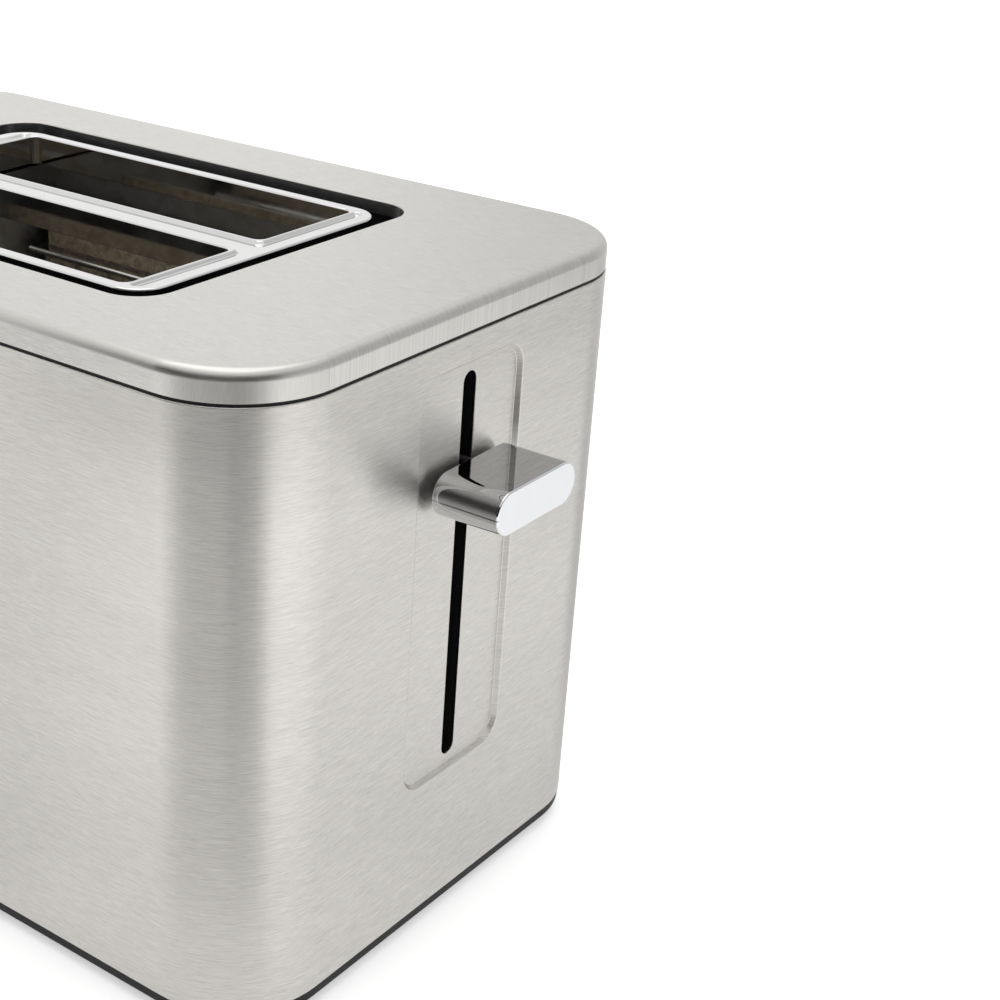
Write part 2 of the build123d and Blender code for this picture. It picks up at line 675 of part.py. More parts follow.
def main_board_parts():
    """Relay, capacitors and transformer on the power board."""
    face = POWER_X + BOARD_SHEET
    pieces = [
        box(face, face + 15, -56, -38, 30, 50),
        box(face, face + 18, -33, -13, 26, 52),
        rod_x(-48, 72, 6, face, face + 14),
        rod_x(-30, 68, 4, face, face + 11),
        rod_x(-18, 68, 4, face, face + 11),
        box(face, face + 8, -54, -22, 88, 96),
    ]
    return group(pieces)


def board_posts():
    """Two brackets that carry the power board from the chassis end plate."""
    start = CHASSIS_X + CHASSIS_SHEET
    pieces = [box(start, POWER_X, -58, -50, z, z + 3) for z in (24, 104)]
    return group(pieces)


def switch_contacts():
    """Two pairs of bronze leaves that the carriage closes when it is down."""
    pieces = []
    for y in (-32, -24):
        pieces.append(box(POWER_X - 1.2, POWER_X, y, y + 5, 22, 44))
        pieces.append(box(POWER_X - 4.6, POWER_X - 1.2, y, y + 5, 43, 43.4))
        pieces.append(box(POWER_X - 5, POWER_X - 4.6, y, y + 5, 26, 43.4))
    return group(pieces)


def terminal_block():
    """The mains terminal on the base, near the cord entry."""
    block = box(-113, -89, 58, 70, FLOOR_TOP, 20)
    for x in (-109, -101, -93):
        block -= rod_z(x, 64, 2, 15, 21)
        block -= rod_y(x, 11, 1.8, 57, 62)
    return block


# ---- Controls ----


def control_housing():
    """The moulding behind the front wall that guides the buttons and holds their board."""
    x0, x1 = CONTROL_X - HOUSING_HALF_X, CONTROL_X + HOUSING_HALF_X
    front = -SIDE + SHEET
    back = HOUSING_BACK
    wall = HOUSING_WALL
    house = box(x0, x1, front, back, HOUSING_LOW, HOUSING_HIGH)
    house -= box(x0 + wall, x1 - wall, front - 1, back - wall, HOUSING_LOW + wall, HOUSING_HIGH - wall)
    for x in (x0 + 4, x1 - 4):
        for z in (HOUSING_LOW + 4, HOUSING_HIGH - 4):
            house += rod_y(x, z, 2.5, back, BOARD_Y - BOARD_SHEET)
    house -= rod_y(CONTROL_X, DIAL_Z, DIAL_SHAFT_R + 1, back - 5, back + 1)
    for z in BUTTON_Z:
        house -= rod_y(CONTROL_X, z, BUTTON_STEM_R + 0.06, back - 5, back + 1)
    return house


def control_board():
    """The board behind the buttons and the dial."""
    x0, x1 = CONTROL_X - HOUSING_HALF_X, CONTROL_X + HOUSING_HALF_X
    return box(x0, x1, BOARD_Y - BOARD_SHEET, BOARD_Y, HOUSING_LOW, HOUSING_HIGH)


def tact_switches():
    """The small switches that the button stems press."""
    front = BOARD_Y - BOARD_SHEET
    pieces = [box(CONTROL_X - 3, CONTROL_X + 3, front - 1.8, front, z - 3, z + 3) for z in BUTTON_Z]
    return group(pieces)


def potentiometer():
    """The browning control's body on the control board."""
    front = BOARD_Y - BOARD_SHEET
    body = box(CONTROL_X - 8, CONTROL_X + 8, front - 5.4, front, DIAL_Z - 8, DIAL_Z + 8)
    return body - rod_y(CONTROL_X, DIAL_Z, DIAL_SHAFT_R + 0.06, front - 6, front - 1)


def browning_dial():
    """The round dial, hollow behind, with a pointer groove across its edge."""
    front = -SIDE - DIAL_OUT
    dial = rod_y(CONTROL_X, DIAL_Z, DIAL_R, front, -SIDE - 0.4)
    dial = fillet(dial.edges().group_by(Axis.Y)[0], DIAL_EDGE)
    dial -= rod_y(CONTROL_X, DIAL_Z, DIAL_R - 2, front + 2.5, -SIDE)
    dial += rod_y(CONTROL_X, DIAL_Z, 6, front + 2, -SIDE - 0.4)
    dial -= rod_y(CONTROL_X, DIAL_Z, DIAL_SHAFT_R, front + 3, -SIDE)
    half = POINTER_WIDE / 2
    deep = front + POINTER_DEEP
    return dial - box(CONTROL_X - half, CONTROL_X + half, front - 1, deep, DIAL_Z + 6, DIAL_Z + 20)


def dial_shaft():
    """The shaft from the dial into the potentiometer."""
    return rod_y(CONTROL_X, DIAL_Z, DIAL_SHAFT_R, -SIDE - DIAL_OUT + 3, BOARD_Y - BOARD_SHEET - 1.2)


def dial_ring():
    """The polished ring on the front wall round the dial."""
    disc = rod_y(CONTROL_X, DIAL_Z, DIAL_R + 3, -SIDE - RING_OUT, -SIDE)
    disc = fillet(disc.edges().group_by(Axis.Y)[0], 0.8)
    return disc - rod_y(CONTROL_X, DIAL_Z, DIAL_R + 0.6, -SIDE - 2, -SIDE + 1)


def push_button(z):
    """A round button with a retaining flange and a stem."""
    front = -SIDE - BUTTON_OUT
    button = rod_y(CONTROL_X, z, BUTTON_R, front, -SIDE + 2)
    button = fillet(button.edges().group_by(Axis.Y)[0], 0.7)
    button += rod_y(CONTROL_X, z, BUTTON_R + 1.2, -SIDE + 1.4, -SIDE + 2.8)
    return button + rod_y(CONTROL_X, z, BUTTON_STEM_R, -SIDE + 2.8, BOARD_Y - BOARD_SHEET - 3.6)


def indicator_lamps():
    """Three small clear lenses beside the buttons."""
    pieces = [rod_y(LAMP_X, z, LAMP_R, -SIDE - 0.2, -SIDE + 6) for z in BUTTON_Z]
    return group(pieces)


# ---- Crumb tray ----


def crumb_tray():
    """The tray's floor under the slots, with the end panel that closes the opening in the casing."""
    panel_y = NOTCH_HALF_Y - 0.4
    tray = box(-END + SHEET, TRAY_END_X, -TRAY_HALF_Y, TRAY_HALF_Y, TRAY_LOW, TRAY_LOW + TRAY_SHEET)
    return tray + box(-END, -END + SHEET, -panel_y, panel_y, SHELL_LOW + 0.4, NOTCH_HIGH - 0.4)


def tray_walls():
    """The low walls round three sides of the tray."""
    low = TRAY_LOW + TRAY_SHEET
    high = TRAY_LOW + TRAY_WALL
    inner_y = TRAY_HALF_Y - TRAY_SHEET
    walls = box(-END + SHEET, TRAY_END_X, -TRAY_HALF_Y, TRAY_HALF_Y, low, high)
    return walls - box(-END, TRAY_END_X - TRAY_SHEET, -inner_y, inner_y, low - 1, high + 1)


def tray_handle():
    """The finger pull on the tray's end panel."""
    pull = box(-END - TRAY_LIP, -END, -26, 26, SHELL_LOW + 1.4, NOTCH_HIGH - 1.4)
    pull = fillet(pull.edges().group_by(Axis.X)[0], 1.2)
    return pull - box(-END - 1.6, -END, -23, 23, SHELL_LOW + 1, SHELL_LOW + 9)


def write_parts():
    """Write every piece to its own file."""
    export("front_sheet", front_sheet())
    export("rear_sheet", rear_sheet())
    export("lever_end_sheet", lever_end_sheet())
    export("far_end_sheet", far_end_sheet())
    export("lid", lid())
    export("upper_frame", upper_frame())
    export("slot_frame", slot_frame())
    export("base_moulding", base_moulding())
    export("rubber_feet", feet())
    export("base_screws", base_screws())
    export("top_screws", top_screws())
    export("cord_gland", cord_gland())
    export("lever_end_plate", lever_end_plate())
    export("far_end_plate", end_plate(-1))
    export("front_heat_shield", heat_shield(-1))
    export("rear_heat_shield", heat_shield(1))
    for place, y in (("front", -MICA_Y), ("centre", 0.0), ("rear", MICA_Y)):
        export(f"{place}_mica_board", mica_board(y))
        export(f"{place}_heating_wire", heating_wire(y))
    for place, y in (("front_slot", -SLOT_CENTRE_Y), ("rear_slot", SLOT_CENTRE_Y)):
        export(f"{place}_near_guard", bread_guard(y - GUARD_OUT))
        export(f"{place}_back_guard", bread_guard(y + GUARD_OUT))
        export(f"{place}_rack", bread_rack(y))
    export("carriage_bracket", carriage_bracket())
    export("guide_bush", guide_bush())
    export("latch_plate", latch_plate())
    export("lever_arm", lever_arm())
    export("lever_knob", lever_knob())
    export("guide_rod", guide_rod())
    export("return_spring", return_spring())
    export("magnet_core", magnet_core())
    export("magnet_bobbin", magnet_bobbin())
    export("magnet_winding", magnet_winding())
    export("magnet_bracket", magnet_bracket())
    export("lever_guide", lever_guide())
    export("main_board", main_board())
    export("main_board_parts", main_board_parts())
    export("board_posts", board_posts())
    export("switch_contacts", switch_contacts())
    export("terminal_block", terminal_block())
    export("control_housing", control_housing())
    export("control_board", control_board())
    export("tact_switches", tact_switches())
    export("potentiometer", potentiometer())
    export("browning_dial", browning_dial())
    export("dial_shaft", dial_shaft())
    export("dial_ring", dial_ring())
    for name, z in zip(("cancel_button", "reheat_button", "frozen_button"), BUTTON_Z):
        export(name, push_button(z))
    export("indicator_lamps", indicator_lamps())
    export("crumb_tray", crumb_tray())
    export("tray_walls", tray_walls())
    export("tray_handle", tray_handle())


if __name__ == "__main__":
    write_parts()
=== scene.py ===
import json
import math

import bpy
from mathutils import Matrix, Vector
from mathutils.geometry import tessellate_polygon


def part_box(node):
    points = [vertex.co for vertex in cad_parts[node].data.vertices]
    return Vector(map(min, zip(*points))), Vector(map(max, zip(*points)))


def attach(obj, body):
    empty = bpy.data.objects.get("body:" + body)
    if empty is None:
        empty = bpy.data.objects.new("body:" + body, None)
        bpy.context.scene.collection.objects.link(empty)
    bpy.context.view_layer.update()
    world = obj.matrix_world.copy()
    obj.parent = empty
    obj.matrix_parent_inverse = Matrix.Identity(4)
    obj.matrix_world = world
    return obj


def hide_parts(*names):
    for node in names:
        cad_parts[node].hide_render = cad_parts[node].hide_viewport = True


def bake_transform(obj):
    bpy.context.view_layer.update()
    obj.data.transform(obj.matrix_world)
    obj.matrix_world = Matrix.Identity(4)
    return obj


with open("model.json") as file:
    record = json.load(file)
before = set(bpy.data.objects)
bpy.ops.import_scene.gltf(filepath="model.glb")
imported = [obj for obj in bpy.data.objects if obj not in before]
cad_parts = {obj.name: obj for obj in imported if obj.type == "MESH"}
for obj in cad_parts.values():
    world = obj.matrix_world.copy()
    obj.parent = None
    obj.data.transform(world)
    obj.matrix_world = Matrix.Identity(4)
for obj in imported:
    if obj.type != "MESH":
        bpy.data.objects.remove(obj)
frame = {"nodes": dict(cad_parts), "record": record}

# The looks of a two-slot pop up toaster, in metres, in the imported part's frame. Lengths that are
# written out as numbers are in millimetres and are multiplied by MM.

MM = 0.001
X, Y, Z = Vector((1, 0, 0)), Vector((0, 1, 0)), Vector((0, 0, 1))
NODES = frame["nodes"]
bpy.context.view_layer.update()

CORNER = 30 * MM
SHEET = 0.8 * MM

front_low, front_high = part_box("front_sheet")
LEFT, RIGHT = front_low.x, front_high.x
FRONT, REAR = front_low.y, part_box("rear_sheet")[1].y
WRAP_LOW, WRAP_HIGH = front_low.z, front_high.z
MIDDLE = Vector(((LEFT + RIGHT) / 2, (FRONT + REAR) / 2, 0))
HALF_X, HALF_Y = (RIGHT - LEFT) / 2, (REAR - FRONT) / 2


def centre(node):
    low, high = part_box(node)
    return (low + high) / 2


# ---- Mesh building ----


class Sheets:
    """Collects surface patches, each vertex with its own true normal, into one mesh."""

    def __init__(self):
        self.points, self.normals, self.faces = [], [], []

    def add(self, points, normals, faces):
        start = len(self.points)
        self.points += points
        self.normals += normals
        for face in faces:
            face = [start + i for i in face]
            a, b, c = (self.points[i] for i in face[:3])
            facing = (b - a).cross(c - a)
            if facing.dot(self.normals[face[0]] + self.normals[face[1]] + self.normals[face[2]]) < 0:
                face.reverse()
            self.faces.append(face)

    def rows(self, rows, closed=True):
        """Quads between rows of (point, normal)."""
        count = len(rows[0])
        faces = []
        for r in range(len(rows) - 1):
            for i in range(count if closed else count - 1):
                j = (i + 1) % count
                faces.append((r * count + i, r * count + j, (r + 1) * count + j, (r + 1) * count + i))
        flat = [pair for row in rows for pair in row]
        self.add([p for p, n in flat], [n for p, n in flat], faces)

    def flat(self, normal, outline, holes=()):
        """A flat face with holes."""
        loops = [list(outline)] + [list(hole) for hole in holes]
        points = [p for loop in loops for p in loop]
        self.add(points, [normal] * len(points), tessellate_polygon(loops))

    def build(self, name):
        mesh = bpy.data.meshes.new(name)
        mesh.from_pydata(self.points, [], self.faces)
        mesh.update()
        for polygon in mesh.polygons:
            polygon.use_smooth = True
        mesh.normals_split_custom_set_from_vertices([n.normalized() for n in self.normals])
        piece = bpy.data.objects.new(name, mesh)
        bpy.context.scene.collection.objects.link(piece)
        return piece


class Outline:
    """A rounded rectangle in the plane of u and v, that can grow and rise along w."""

    def __init__(self, origin, u, v, half_u, half_v, corner, steps=12):
        self.origin, self.u, self.v, self.w = Vector(origin), u, v, u.cross(v)
        self.half_u, self.half_v, self.corner, self.steps = half_u, half_v, corner, steps

    def loop(self, grow=0.0, rise=0.0, along=1.0, up=0.0):
        """(point, normal) round the outline. The normal is along * outwards + up * w."""
        radius = max(self.corner + grow, 1e-5)
        flat_u = max(self.half_u + grow - radius, 0.0)
        flat_v = max(self.half_v + grow - radius, 0.0)
        made = []
        for quarter, (su, sv) in enumerate(((1, 1), (-1, 1), (-1, -1), (1, -1))):
            for step in range(self.steps + 1):
                angle = math.radians(90 * (quarter + step / self.steps))
                out = self.u * math.cos(angle) + self.v * math.sin(angle)
                at = self.origin + self.u * su * flat_u + self.v * sv * flat_v + self.w * rise
                made.append((at + out * radius, out * along + self.w * up))
        return made

    def points(self, grow=0.0, rise=0.0):
        return [p for p, n in self.loop(grow, rise)]

    def skin(self, sheets, profile):
        """Sweeps a profile of (grow, rise, along, up) round the outline."""
        sheets.rows([self.loop(*step) for step in profile])


def bend(grow, rise, radius, start, end, side=1, steps=6):
    """An arc of a profile about (grow, rise). side is 1 for an outside bend, -1 for an inside one."""
    made = []
    for step in range(steps + 1):
        angle = math.radians(start + (end - start) * step / steps)
        c, s = math.cos(angle), math.sin(angle)
        made.append((grow + radius * c, rise + radius * s, side * c, side * s))
    return made


def circle(at, u, v, radius, steps=32):
    return [at + (u * math.cos(a) + v * math.sin(a)) * radius
            for a in (2 * math.pi * i / steps for i in range(steps))]


def tube(path, radius, sides=10):
    """Rows of (point, normal) round a path."""
    rows = []
    side = None
    for i, p in enumerate(path):
        ahead = (path[min(i + 1, len(path) - 1)] - path[max(i - 1, 0)]).normalized()
        if side is None:
            side = ahead.orthogonal().normalized()
        side = (side - ahead * side.dot(ahead)).normalized()
        up = ahead.cross(side)
        rows.append([(p + n * radius, n) for n in
                     (side * math.cos(a) + up * math.sin(a) for a in
                      (2 * math.pi * k / sides for k in range(sides)))])
    return rows


# ---- Materials ----


class Shader:
    """A node material round one Principled shader."""

    def __init__(self, name):
        self.material = bpy.data.materials.new(name)
        self.material.use_nodes = True
        self.tree = self.material.node_tree
        self.surface = self.tree.nodes["Principled BSDF"]
        self.coordinates = self.node("ShaderNodeTexCoord").outputs["Object"]

    def node(self, kind, **settings):
        made = self.tree.nodes.new(kind)
        for key, value in settings.items():
            setattr(made, key, value)
        return made

    def link(self, a, b):
        self.tree.links.new(a, b)

    def noise(self, scale, detail=3.0, roughness=0.55, source=None):
        """Noise stretched by a scale for each axis, from 0 to 1."""
        mapping = self.node("ShaderNodeMapping")
        mapping.inputs["Scale"].default_value = scale
        self.link(source or self.coordinates, mapping.inputs["Vector"])
        texture = self.node("ShaderNodeTexNoise")
        texture.inputs["Scale"].default_value = 1.0
        texture.inputs["Detail"].default_value = detail
        texture.inputs["Roughness"].default_value = roughness
        texture.inputs["Distortion"].default_value = 0.0
        self.link(mapping.outputs["Vector"], texture.inputs["Vector"])
        return texture.outputs["Fac"]

    def cells(self, scale):
        """Crystal-like cells, one value each."""
        mapping = self.node("ShaderNodeMapping")
        mapping.inputs["Scale"].default_value = scale
        self.link(self.coordinates, mapping.inputs["Vector"])
        texture = self.node("ShaderNodeTexVoronoi")
        texture.inputs["Scale"].default_value = 1.0
        self.link(mapping.outputs["Vector"], texture.inputs["Vector"])
        split = self.node("ShaderNodeSeparateColor")
        self.link(texture.outputs["Color"], split.inputs["Color"])
        return split.outputs["Red"]

    def spread(self, value, low, high, start=0.25, end=0.75):
        """Stretches a value from start..end to low..high."""
        mapped = self.node("ShaderNodeMapRange", clamp=True)
        mapped.inputs["From Min"].default_value = start
        mapped.inputs["From Max"].default_value = end
        mapped.inputs["To Min"].default_value = low
        mapped.inputs["To Max"].default_value = high
        self.link(value, mapped.inputs["Value"])
        return mapped.outputs["Result"]

    def blend(self, factor, a, b):
        """A colour between a and b."""
        mix = self.node("ShaderNodeMix", data_type="RGBA")
        mix.inputs["A"].default_value = (*a, 1)
        mix.inputs["B"].default_value = (*b, 1)
        self.link(factor, mix.inputs["Factor"])
        return mix.outputs["Result"]

    def add(self, a, b, share=1.0):
        total = self.node("ShaderNodeMath", operation="MULTIPLY_ADD")
        self.link(b, total.inputs[0])
        total.inputs[1].default_value = share
        self.link(a, total.inputs[2])
        return total.outputs["Value"]

    def bump(self, height, distance):
        made = self.node("ShaderNodeBump")
        made.inputs["Distance"].default_value = distance
        made.inputs["Strength"].default_value = 1.0
        self.link(height, made.inputs["Height"])
        self.link(made.outputs["Normal"], self.surface.inputs["Normal"])

    def put(self, **values):
        """Sets the shader's own sockets, or links them."""
        for key, value in values.items():
            socket = self.surface.inputs[key.replace("_", " ")]
            if isinstance(value, bpy.types.NodeSocket):
                self.link(value, socket)
            else:
                socket.default_value = (*value, 1) if isinstance(value, tuple) else value
        return self

    def tangent(self, vector):
        made = self.node("ShaderNodeCombineXYZ")
        for axis, value in zip("XYZ", vector):
            made.inputs[axis].default_value = value
        self.link(made.outputs["Vector"], self.surface.inputs["Tangent"])


def brushed(name, coarse, fine, broad, glow, colour, rough=0.3, depth=6e-6, source=None):
    """Steel with grinding lines. The scales are small along the lines, and highlights spread along glow."""
    s = Shader(name)
    lines = s.noise(coarse, 4, 0.6, source)
    hair = s.noise(fine, 3, 0.6, source)
    cloud = s.noise(broad, 2, 0.5, source)
    both = s.add(lines, hair, 0.6)
    dark = tuple(c * STREAK for c in colour)
    s.put(Base_Color=s.blend(s.spread(both, 0, 1, 0.55, 1.05), dark, colour), Metallic=1.0)
    s.put(Roughness=s.spread(s.add(lines, cloud, 0.8), rough - 0.05, rough + 0.05, 0.6, 1.2))
    s.put(Anisotropic=0.9)
    s.bump(both, depth)
    s.tangent(glow)
    return s


def metal(name, colour, rough, depth=1e-6, grain=(900, 900, 900), tint=0.06, wobble=0.05):
    """Plain metal with a fine uneven surface."""
    s = Shader(name)
    grit = s.noise(grain, 4, 0.6)
    soft = s.noise(tuple(g / 30 for g in grain), 2)
    dark = tuple(c * (1 - tint) for c in colour)
    s.put(Base_Color=s.blend(s.spread(soft, 0, 1), dark, colour), Metallic=1.0)
    s.put(Roughness=s.spread(grit, max(rough - wobble, 0.01), rough + wobble))
    s.bump(grit, depth)
    return s


def moulded(name, colour, rough, depth=4e-6, grain=2200, tint=0.15, wobble=0.06):
    """Moulded plastic or rubber with a fine spark-eroded grain."""
    s = Shader(name)
    grit = s.noise((grain, grain, grain), 2, 0.5)
    soft = s.noise((60, 60, 60), 3)
    dark = tuple(c * (1 - tint) for c in colour)
    s.put(Base_Color=s.blend(s.spread(soft, 0, 1), dark, colour))
    s.put(Roughness=s.spread(s.add(grit, soft, 0.5), rough - wobble, rough + wobble, 0.5, 1.0))
    s.bump(grit, depth)
    return s


STEEL = (0.682, 0.663, 0.628)
STREAK = 0.68
LID_STEEL = (0.61, 0.600, 0.573)
LOOKS = {}


def steel_wrap_look():
    s = brushed("wrap_steel", (150, 150, 3600), (500, 500, 7000), (4, 4, 50), (0, 0, 1), STEEL, 0.34)
    return s.material


def lid_look():
    """Grinding lines run along X and over the front and rear skirts, and stand upright on the ends."""
    s = Shader("lid_steel")
    split = s.node("ShaderNodeSeparateXYZ")
    s.link(s.coordinates, split.inputs["Vector"])
    geometry = s.node("ShaderNodeNewGeometry")
    facing = s.node("ShaderNodeSeparateXYZ")
    s.link(geometry.outputs["Normal"], facing.inputs["Vector"])
    sideways = s.node("ShaderNodeMath", operation="MULTIPLY")
    s.link(facing.outputs["Y"], sideways.inputs[0])
    s.link(facing.outputs["Y"], sideways.inputs[1])
    drop = s.node("ShaderNodeMath", operation="MULTIPLY")
    s.link(split.outputs["Z"], drop.inputs[0])
    s.link(sideways.outputs["Value"], drop.inputs[1])
    join = s.node("ShaderNodeCombineXYZ")
    s.link(split.outputs["X"], join.inputs["X"])
    s.link(split.outputs["Y"], join.inputs["Y"])
    s.link(drop.outputs["Value"], join.inputs["Z"])
    source = join.outputs["Vector"]
    lines = s.noise((150, 3600, 3600), 4, 0.6, source)
    hair = s.noise((500, 7000, 7000), 3, 0.6, source)
    cloud = s.noise((4, 50, 50), 2, 0.5, source)
    both = s.add(lines, hair, 0.6)
    dark = tuple(c * STREAK for c in LID_STEEL)
    s.put(Base_Color=s.blend(s.spread(both, 0, 1, 0.55, 1.05), dark, LID_STEEL), Metallic=1.0)
    s.put(Roughness=s.spread(s.add(lines, cloud, 0.8), 0.29, 0.39, 0.6, 1.2), Anisotropic=0.6)
    s.bump(both, 5e-6)
    across = s.node("ShaderNodeVectorMath", operation="CROSS_PRODUCT")
    across.inputs[0].default_value = (1, 0, 0)
    s.link(geometry.outputs["Normal"], across.inputs[1])
    tilt = s.node("ShaderNodeVectorMath", operation="ADD")
    tilt.inputs[1].default_value = (0, 0.05, 0)
    s.link(across.outputs["Vector"], tilt.inputs[0])
    s.link(tilt.outputs["Vector"], s.surface.inputs["Tangent"])
    return s.material


def chrome_look(name, colour, rough):
    """Plated metal: a mirror with faint polishing haze and a slightly wavy surface."""
    s = Shader(name)
    haze = s.noise((180, 180, 180), 4, 0.6)
    waves = s.noise((70, 70, 70), 1, 0.4)
    s.put(Base_Color=s.blend(s.spread(haze, 0, 1), tuple(c * 0.97 for c in colour), colour))
    s.put(Metallic=1.0, Roughness=s.spread(haze, rough * 0.7, rough * 1.6))
    s.bump(waves, 6e-6)
    return s.material


def mica_look():
    s = Shader("mica_board")
    flakes = s.cells((700, 700, 700))
    layers = s.noise((120, 120, 500), 5, 0.65)
    s.put(Base_Color=s.blend(s.spread(s.add(flakes, layers, 0.8), 0, 1, 0.3, 1.4),
                             (0.17, 0.135, 0.09), (0.32, 0.27, 0.19)))
    s.put(Roughness=s.spread(flakes, 0.28, 0.5, 0, 1), Coat_Weight=0.2, Coat_Roughness=0.3)
    s.bump(s.add(layers, flakes, 0.5), 4e-5)
    return s.material


def zinc_look(name, colour, rough=0.36):
    """Zinc coated sheet with faint crystals."""
    s = Shader(name)
    spangle = s.cells((170, 170, 170))
    grit = s.noise((1500, 1500, 1500), 3)
    s.put(Base_Color=s.blend(s.spread(spangle, 0, 1, 0, 1), tuple(c * 0.84 for c in colour), colour))
    s.put(Metallic=1.0, Roughness=s.spread(s.add(spangle, grit, 0.5), rough - 0.07, rough + 0.1, 0.2, 1.4))
    s.bump(grit, 3e-6)
    return s.material


def spun_look(name, colour, at):
    """Turned aluminium: fine circles about the dial's axis."""
    s = Shader(name)
    shift = s.node("ShaderNodeVectorMath", operation="SUBTRACT")
    shift.inputs[1].default_value = tuple(at)
    s.link(s.coordinates, shift.inputs[0])
    split = s.node("ShaderNodeSeparateXYZ")
    s.link(shift.outputs["Vector"], split.inputs["Vector"])
    join = s.node("ShaderNodeCombineXYZ")
    s.link(split.outputs["X"], join.inputs["X"])
    s.link(split.outputs["Z"], join.inputs["Y"])
    size = s.node("ShaderNodeVectorMath", operation="LENGTH")
    s.link(join.outputs["Vector"], size.inputs[0])
    along = s.node("ShaderNodeCombineXYZ")
    s.link(size.outputs["Value"], along.inputs["X"])
    s.link(split.outputs["Y"], along.inputs["Y"])
    rings = s.noise((5200, 1500, 1), 3, 0.6, along.outputs["Vector"])
    s.put(Base_Color=s.blend(s.spread(rings, 0, 1), tuple(c * 0.9 for c in colour), colour))
    s.put(Metallic=1.0, Roughness=s.spread(rings, 0.2, 0.34), Anisotropic=0.6)
    s.bump(rings, 2.5e-6)
    return s.material


def lens_look():
    s = Shader("lamp_lens")
    haze = s.noise((900, 900, 900), 2)
    s.put(Base_Color=s.blend(s.spread(haze, 0, 1), (0.72, 0.78, 0.84), (0.86, 0.9, 0.94)))
    s.put(Roughness=s.spread(haze, 0.08, 0.16), Transmission_Weight=0.55, IOR=1.49, Coat_Weight=0.5)
    s.bump(haze, 2e-6)
    return s.material


def board_look():
    s = Shader("circuit_board")
    tracks = s.node("ShaderNodeTexBrick")
    tracks.inputs["Scale"].default_value = 120.0
    tracks.inputs["Mortar Size"].default_value = 0.012
    tracks.inputs["Color1"].default_value = (0.03, 0.16, 0.06, 1)
    tracks.inputs["Color2"].default_value = (0.04, 0.2, 0.08, 1)
    tracks.inputs["Mortar"].default_value = (0.1, 0.32, 0.15, 1)
    turn = s.node("ShaderNodeMapping")
    turn.inputs["Rotation"].default_value = (math.pi / 2, 0, math.pi / 4)
    s.link(s.coordinates, turn.inputs["Vector"])
    s.link(turn.outputs["Vector"], tracks.inputs["Vector"])
    s.put(Base_Color=tracks.outputs["Color"], Roughness=s.spread(s.noise((400, 400, 400)), 0.25, 0.4))
    s.put(Coat_Weight=0.3)
    return s.material


def wound_look():
    """Enamelled copper wire, one turn on the next."""
    s = Shader("wound_copper")
    wave = s.node("ShaderNodeTexWave", wave_type="BANDS", bands_direction="Z")
    wave.inputs["Scale"].default_value = 900.0
    wave.inputs["Distortion"].default_value = 0.4
    s.link(s.coordinates, wave.inputs["Vector"])
    s.put(Base_Color=s.blend(wave.outputs["Fac"], (0.35, 0.13, 0.06), (0.78, 0.36, 0.18)))
    s.put(Metallic=1.0, Roughness=s.spread(wave.outputs["Fac"], 0.2, 0.35, 0, 1))
    s.bump(wave.outputs["Fac"], 6e-5)
    return s.material


def heater_look():
    """Heating ribbon with a dull brown oxide."""
    s = Shader("heating_ribbon")
    scale = s.noise((700, 700, 700), 4, 0.65)
    s.put(Base_Color=s.blend(s.spread(scale, 0, 1), (0.16, 0.11, 0.085), (0.42, 0.37, 0.33)))
    s.put(Metallic=0.8, Roughness=s.spread(scale, 0.42, 0.62))
    s.bump(scale, 8e-6)
    return s.material


def toasted_look():
    """Drawn wire close to the heat, with a straw tint."""
    s = metal("guard_wire", (0.62, 0.60, 0.56), 0.3, 2e-6, (1200, 1200, 90))
    return s.material


LOOKS["brushed_steel"] = steel_wrap_look()
LOOKS["lid"] = lid_look()
LOOKS["polished_chrome"] = chrome_look("plated_chrome", (0.6, 0.605, 0.61), 0.06)
FRAME_LOOK = chrome_look("polished_steel", (0.6, 0.6, 0.595), 0.05)
LOOKS["satin_metal"] = spun_look("turned_aluminium", (0.5, 0.5, 0.505), centre("browning_dial"))
BLACK = moulded("black_plastic", (0.008, 0.008, 0.0085), 0.45)
LOOKS["black_plastic"] = BLACK.put(Specular_IOR_Level=0.18).material
LOOKS["gland_rubber"] = moulded("gland_rubber", (0.02, 0.02, 0.02), 0.6, 8e-6, 1400).material
LOOKS["foot_rubber"] = moulded("foot_rubber", (0.04, 0.04, 0.04), 0.75, 1e-5, 1100).material
LOOKS["chassis_steel"] = zinc_look("chassis_zinc", (0.55, 0.56, 0.57))
LOOKS["tray_steel"] = brushed("tray_steel", (80, 80, 2300), (260, 260, 5200), (4, 4, 50), (0, 0, 1),
                              (0.6, 0.595, 0.585), 0.34).material
LOOKS["bright_wire"] = toasted_look()
LOOKS["carriage_steel"] = zinc_look("carriage_zinc", (0.56, 0.56, 0.57), 0.3)
LOOKS["screw_steel"] = zinc_look("screw_zinc", (0.5, 0.5, 0.5), 0.32)
LOOKS["spring_steel"] = metal("spring_steel", (0.46, 0.46, 0.47), 0.28, 2e-6).material
LOOKS["mica"] = mica_look()
LOOKS["heating_alloy"] = heater_look()
LOOKS["bush_brass"] = metal("bush_brass", (0.72, 0.55, 0.28), 0.22, 2e-6, (300, 300, 4000)).material
LOOKS["magnet_iron"] = metal("magnet_iron", (0.3, 0.3, 0.31), 0.5, 1.2e-5, (2400, 60, 60)).material
LOOKS["coil_former"] = moulded("coil_former", (0.74, 0.7, 0.62), 0.4, 3e-6).material
LOOKS["coil_copper"] = wound_look()
LOOKS["board_green"] = board_look()
LOOKS["component_black"] = moulded("component_black", (0.035, 0.035, 0.04), 0.35, 3e-6).material
LOOKS["contact_bronze"] = metal("contact_bronze", (0.66, 0.44, 0.22), 0.25, 2e-6).material
LOOKS["lamp_clear"] = lens_look()
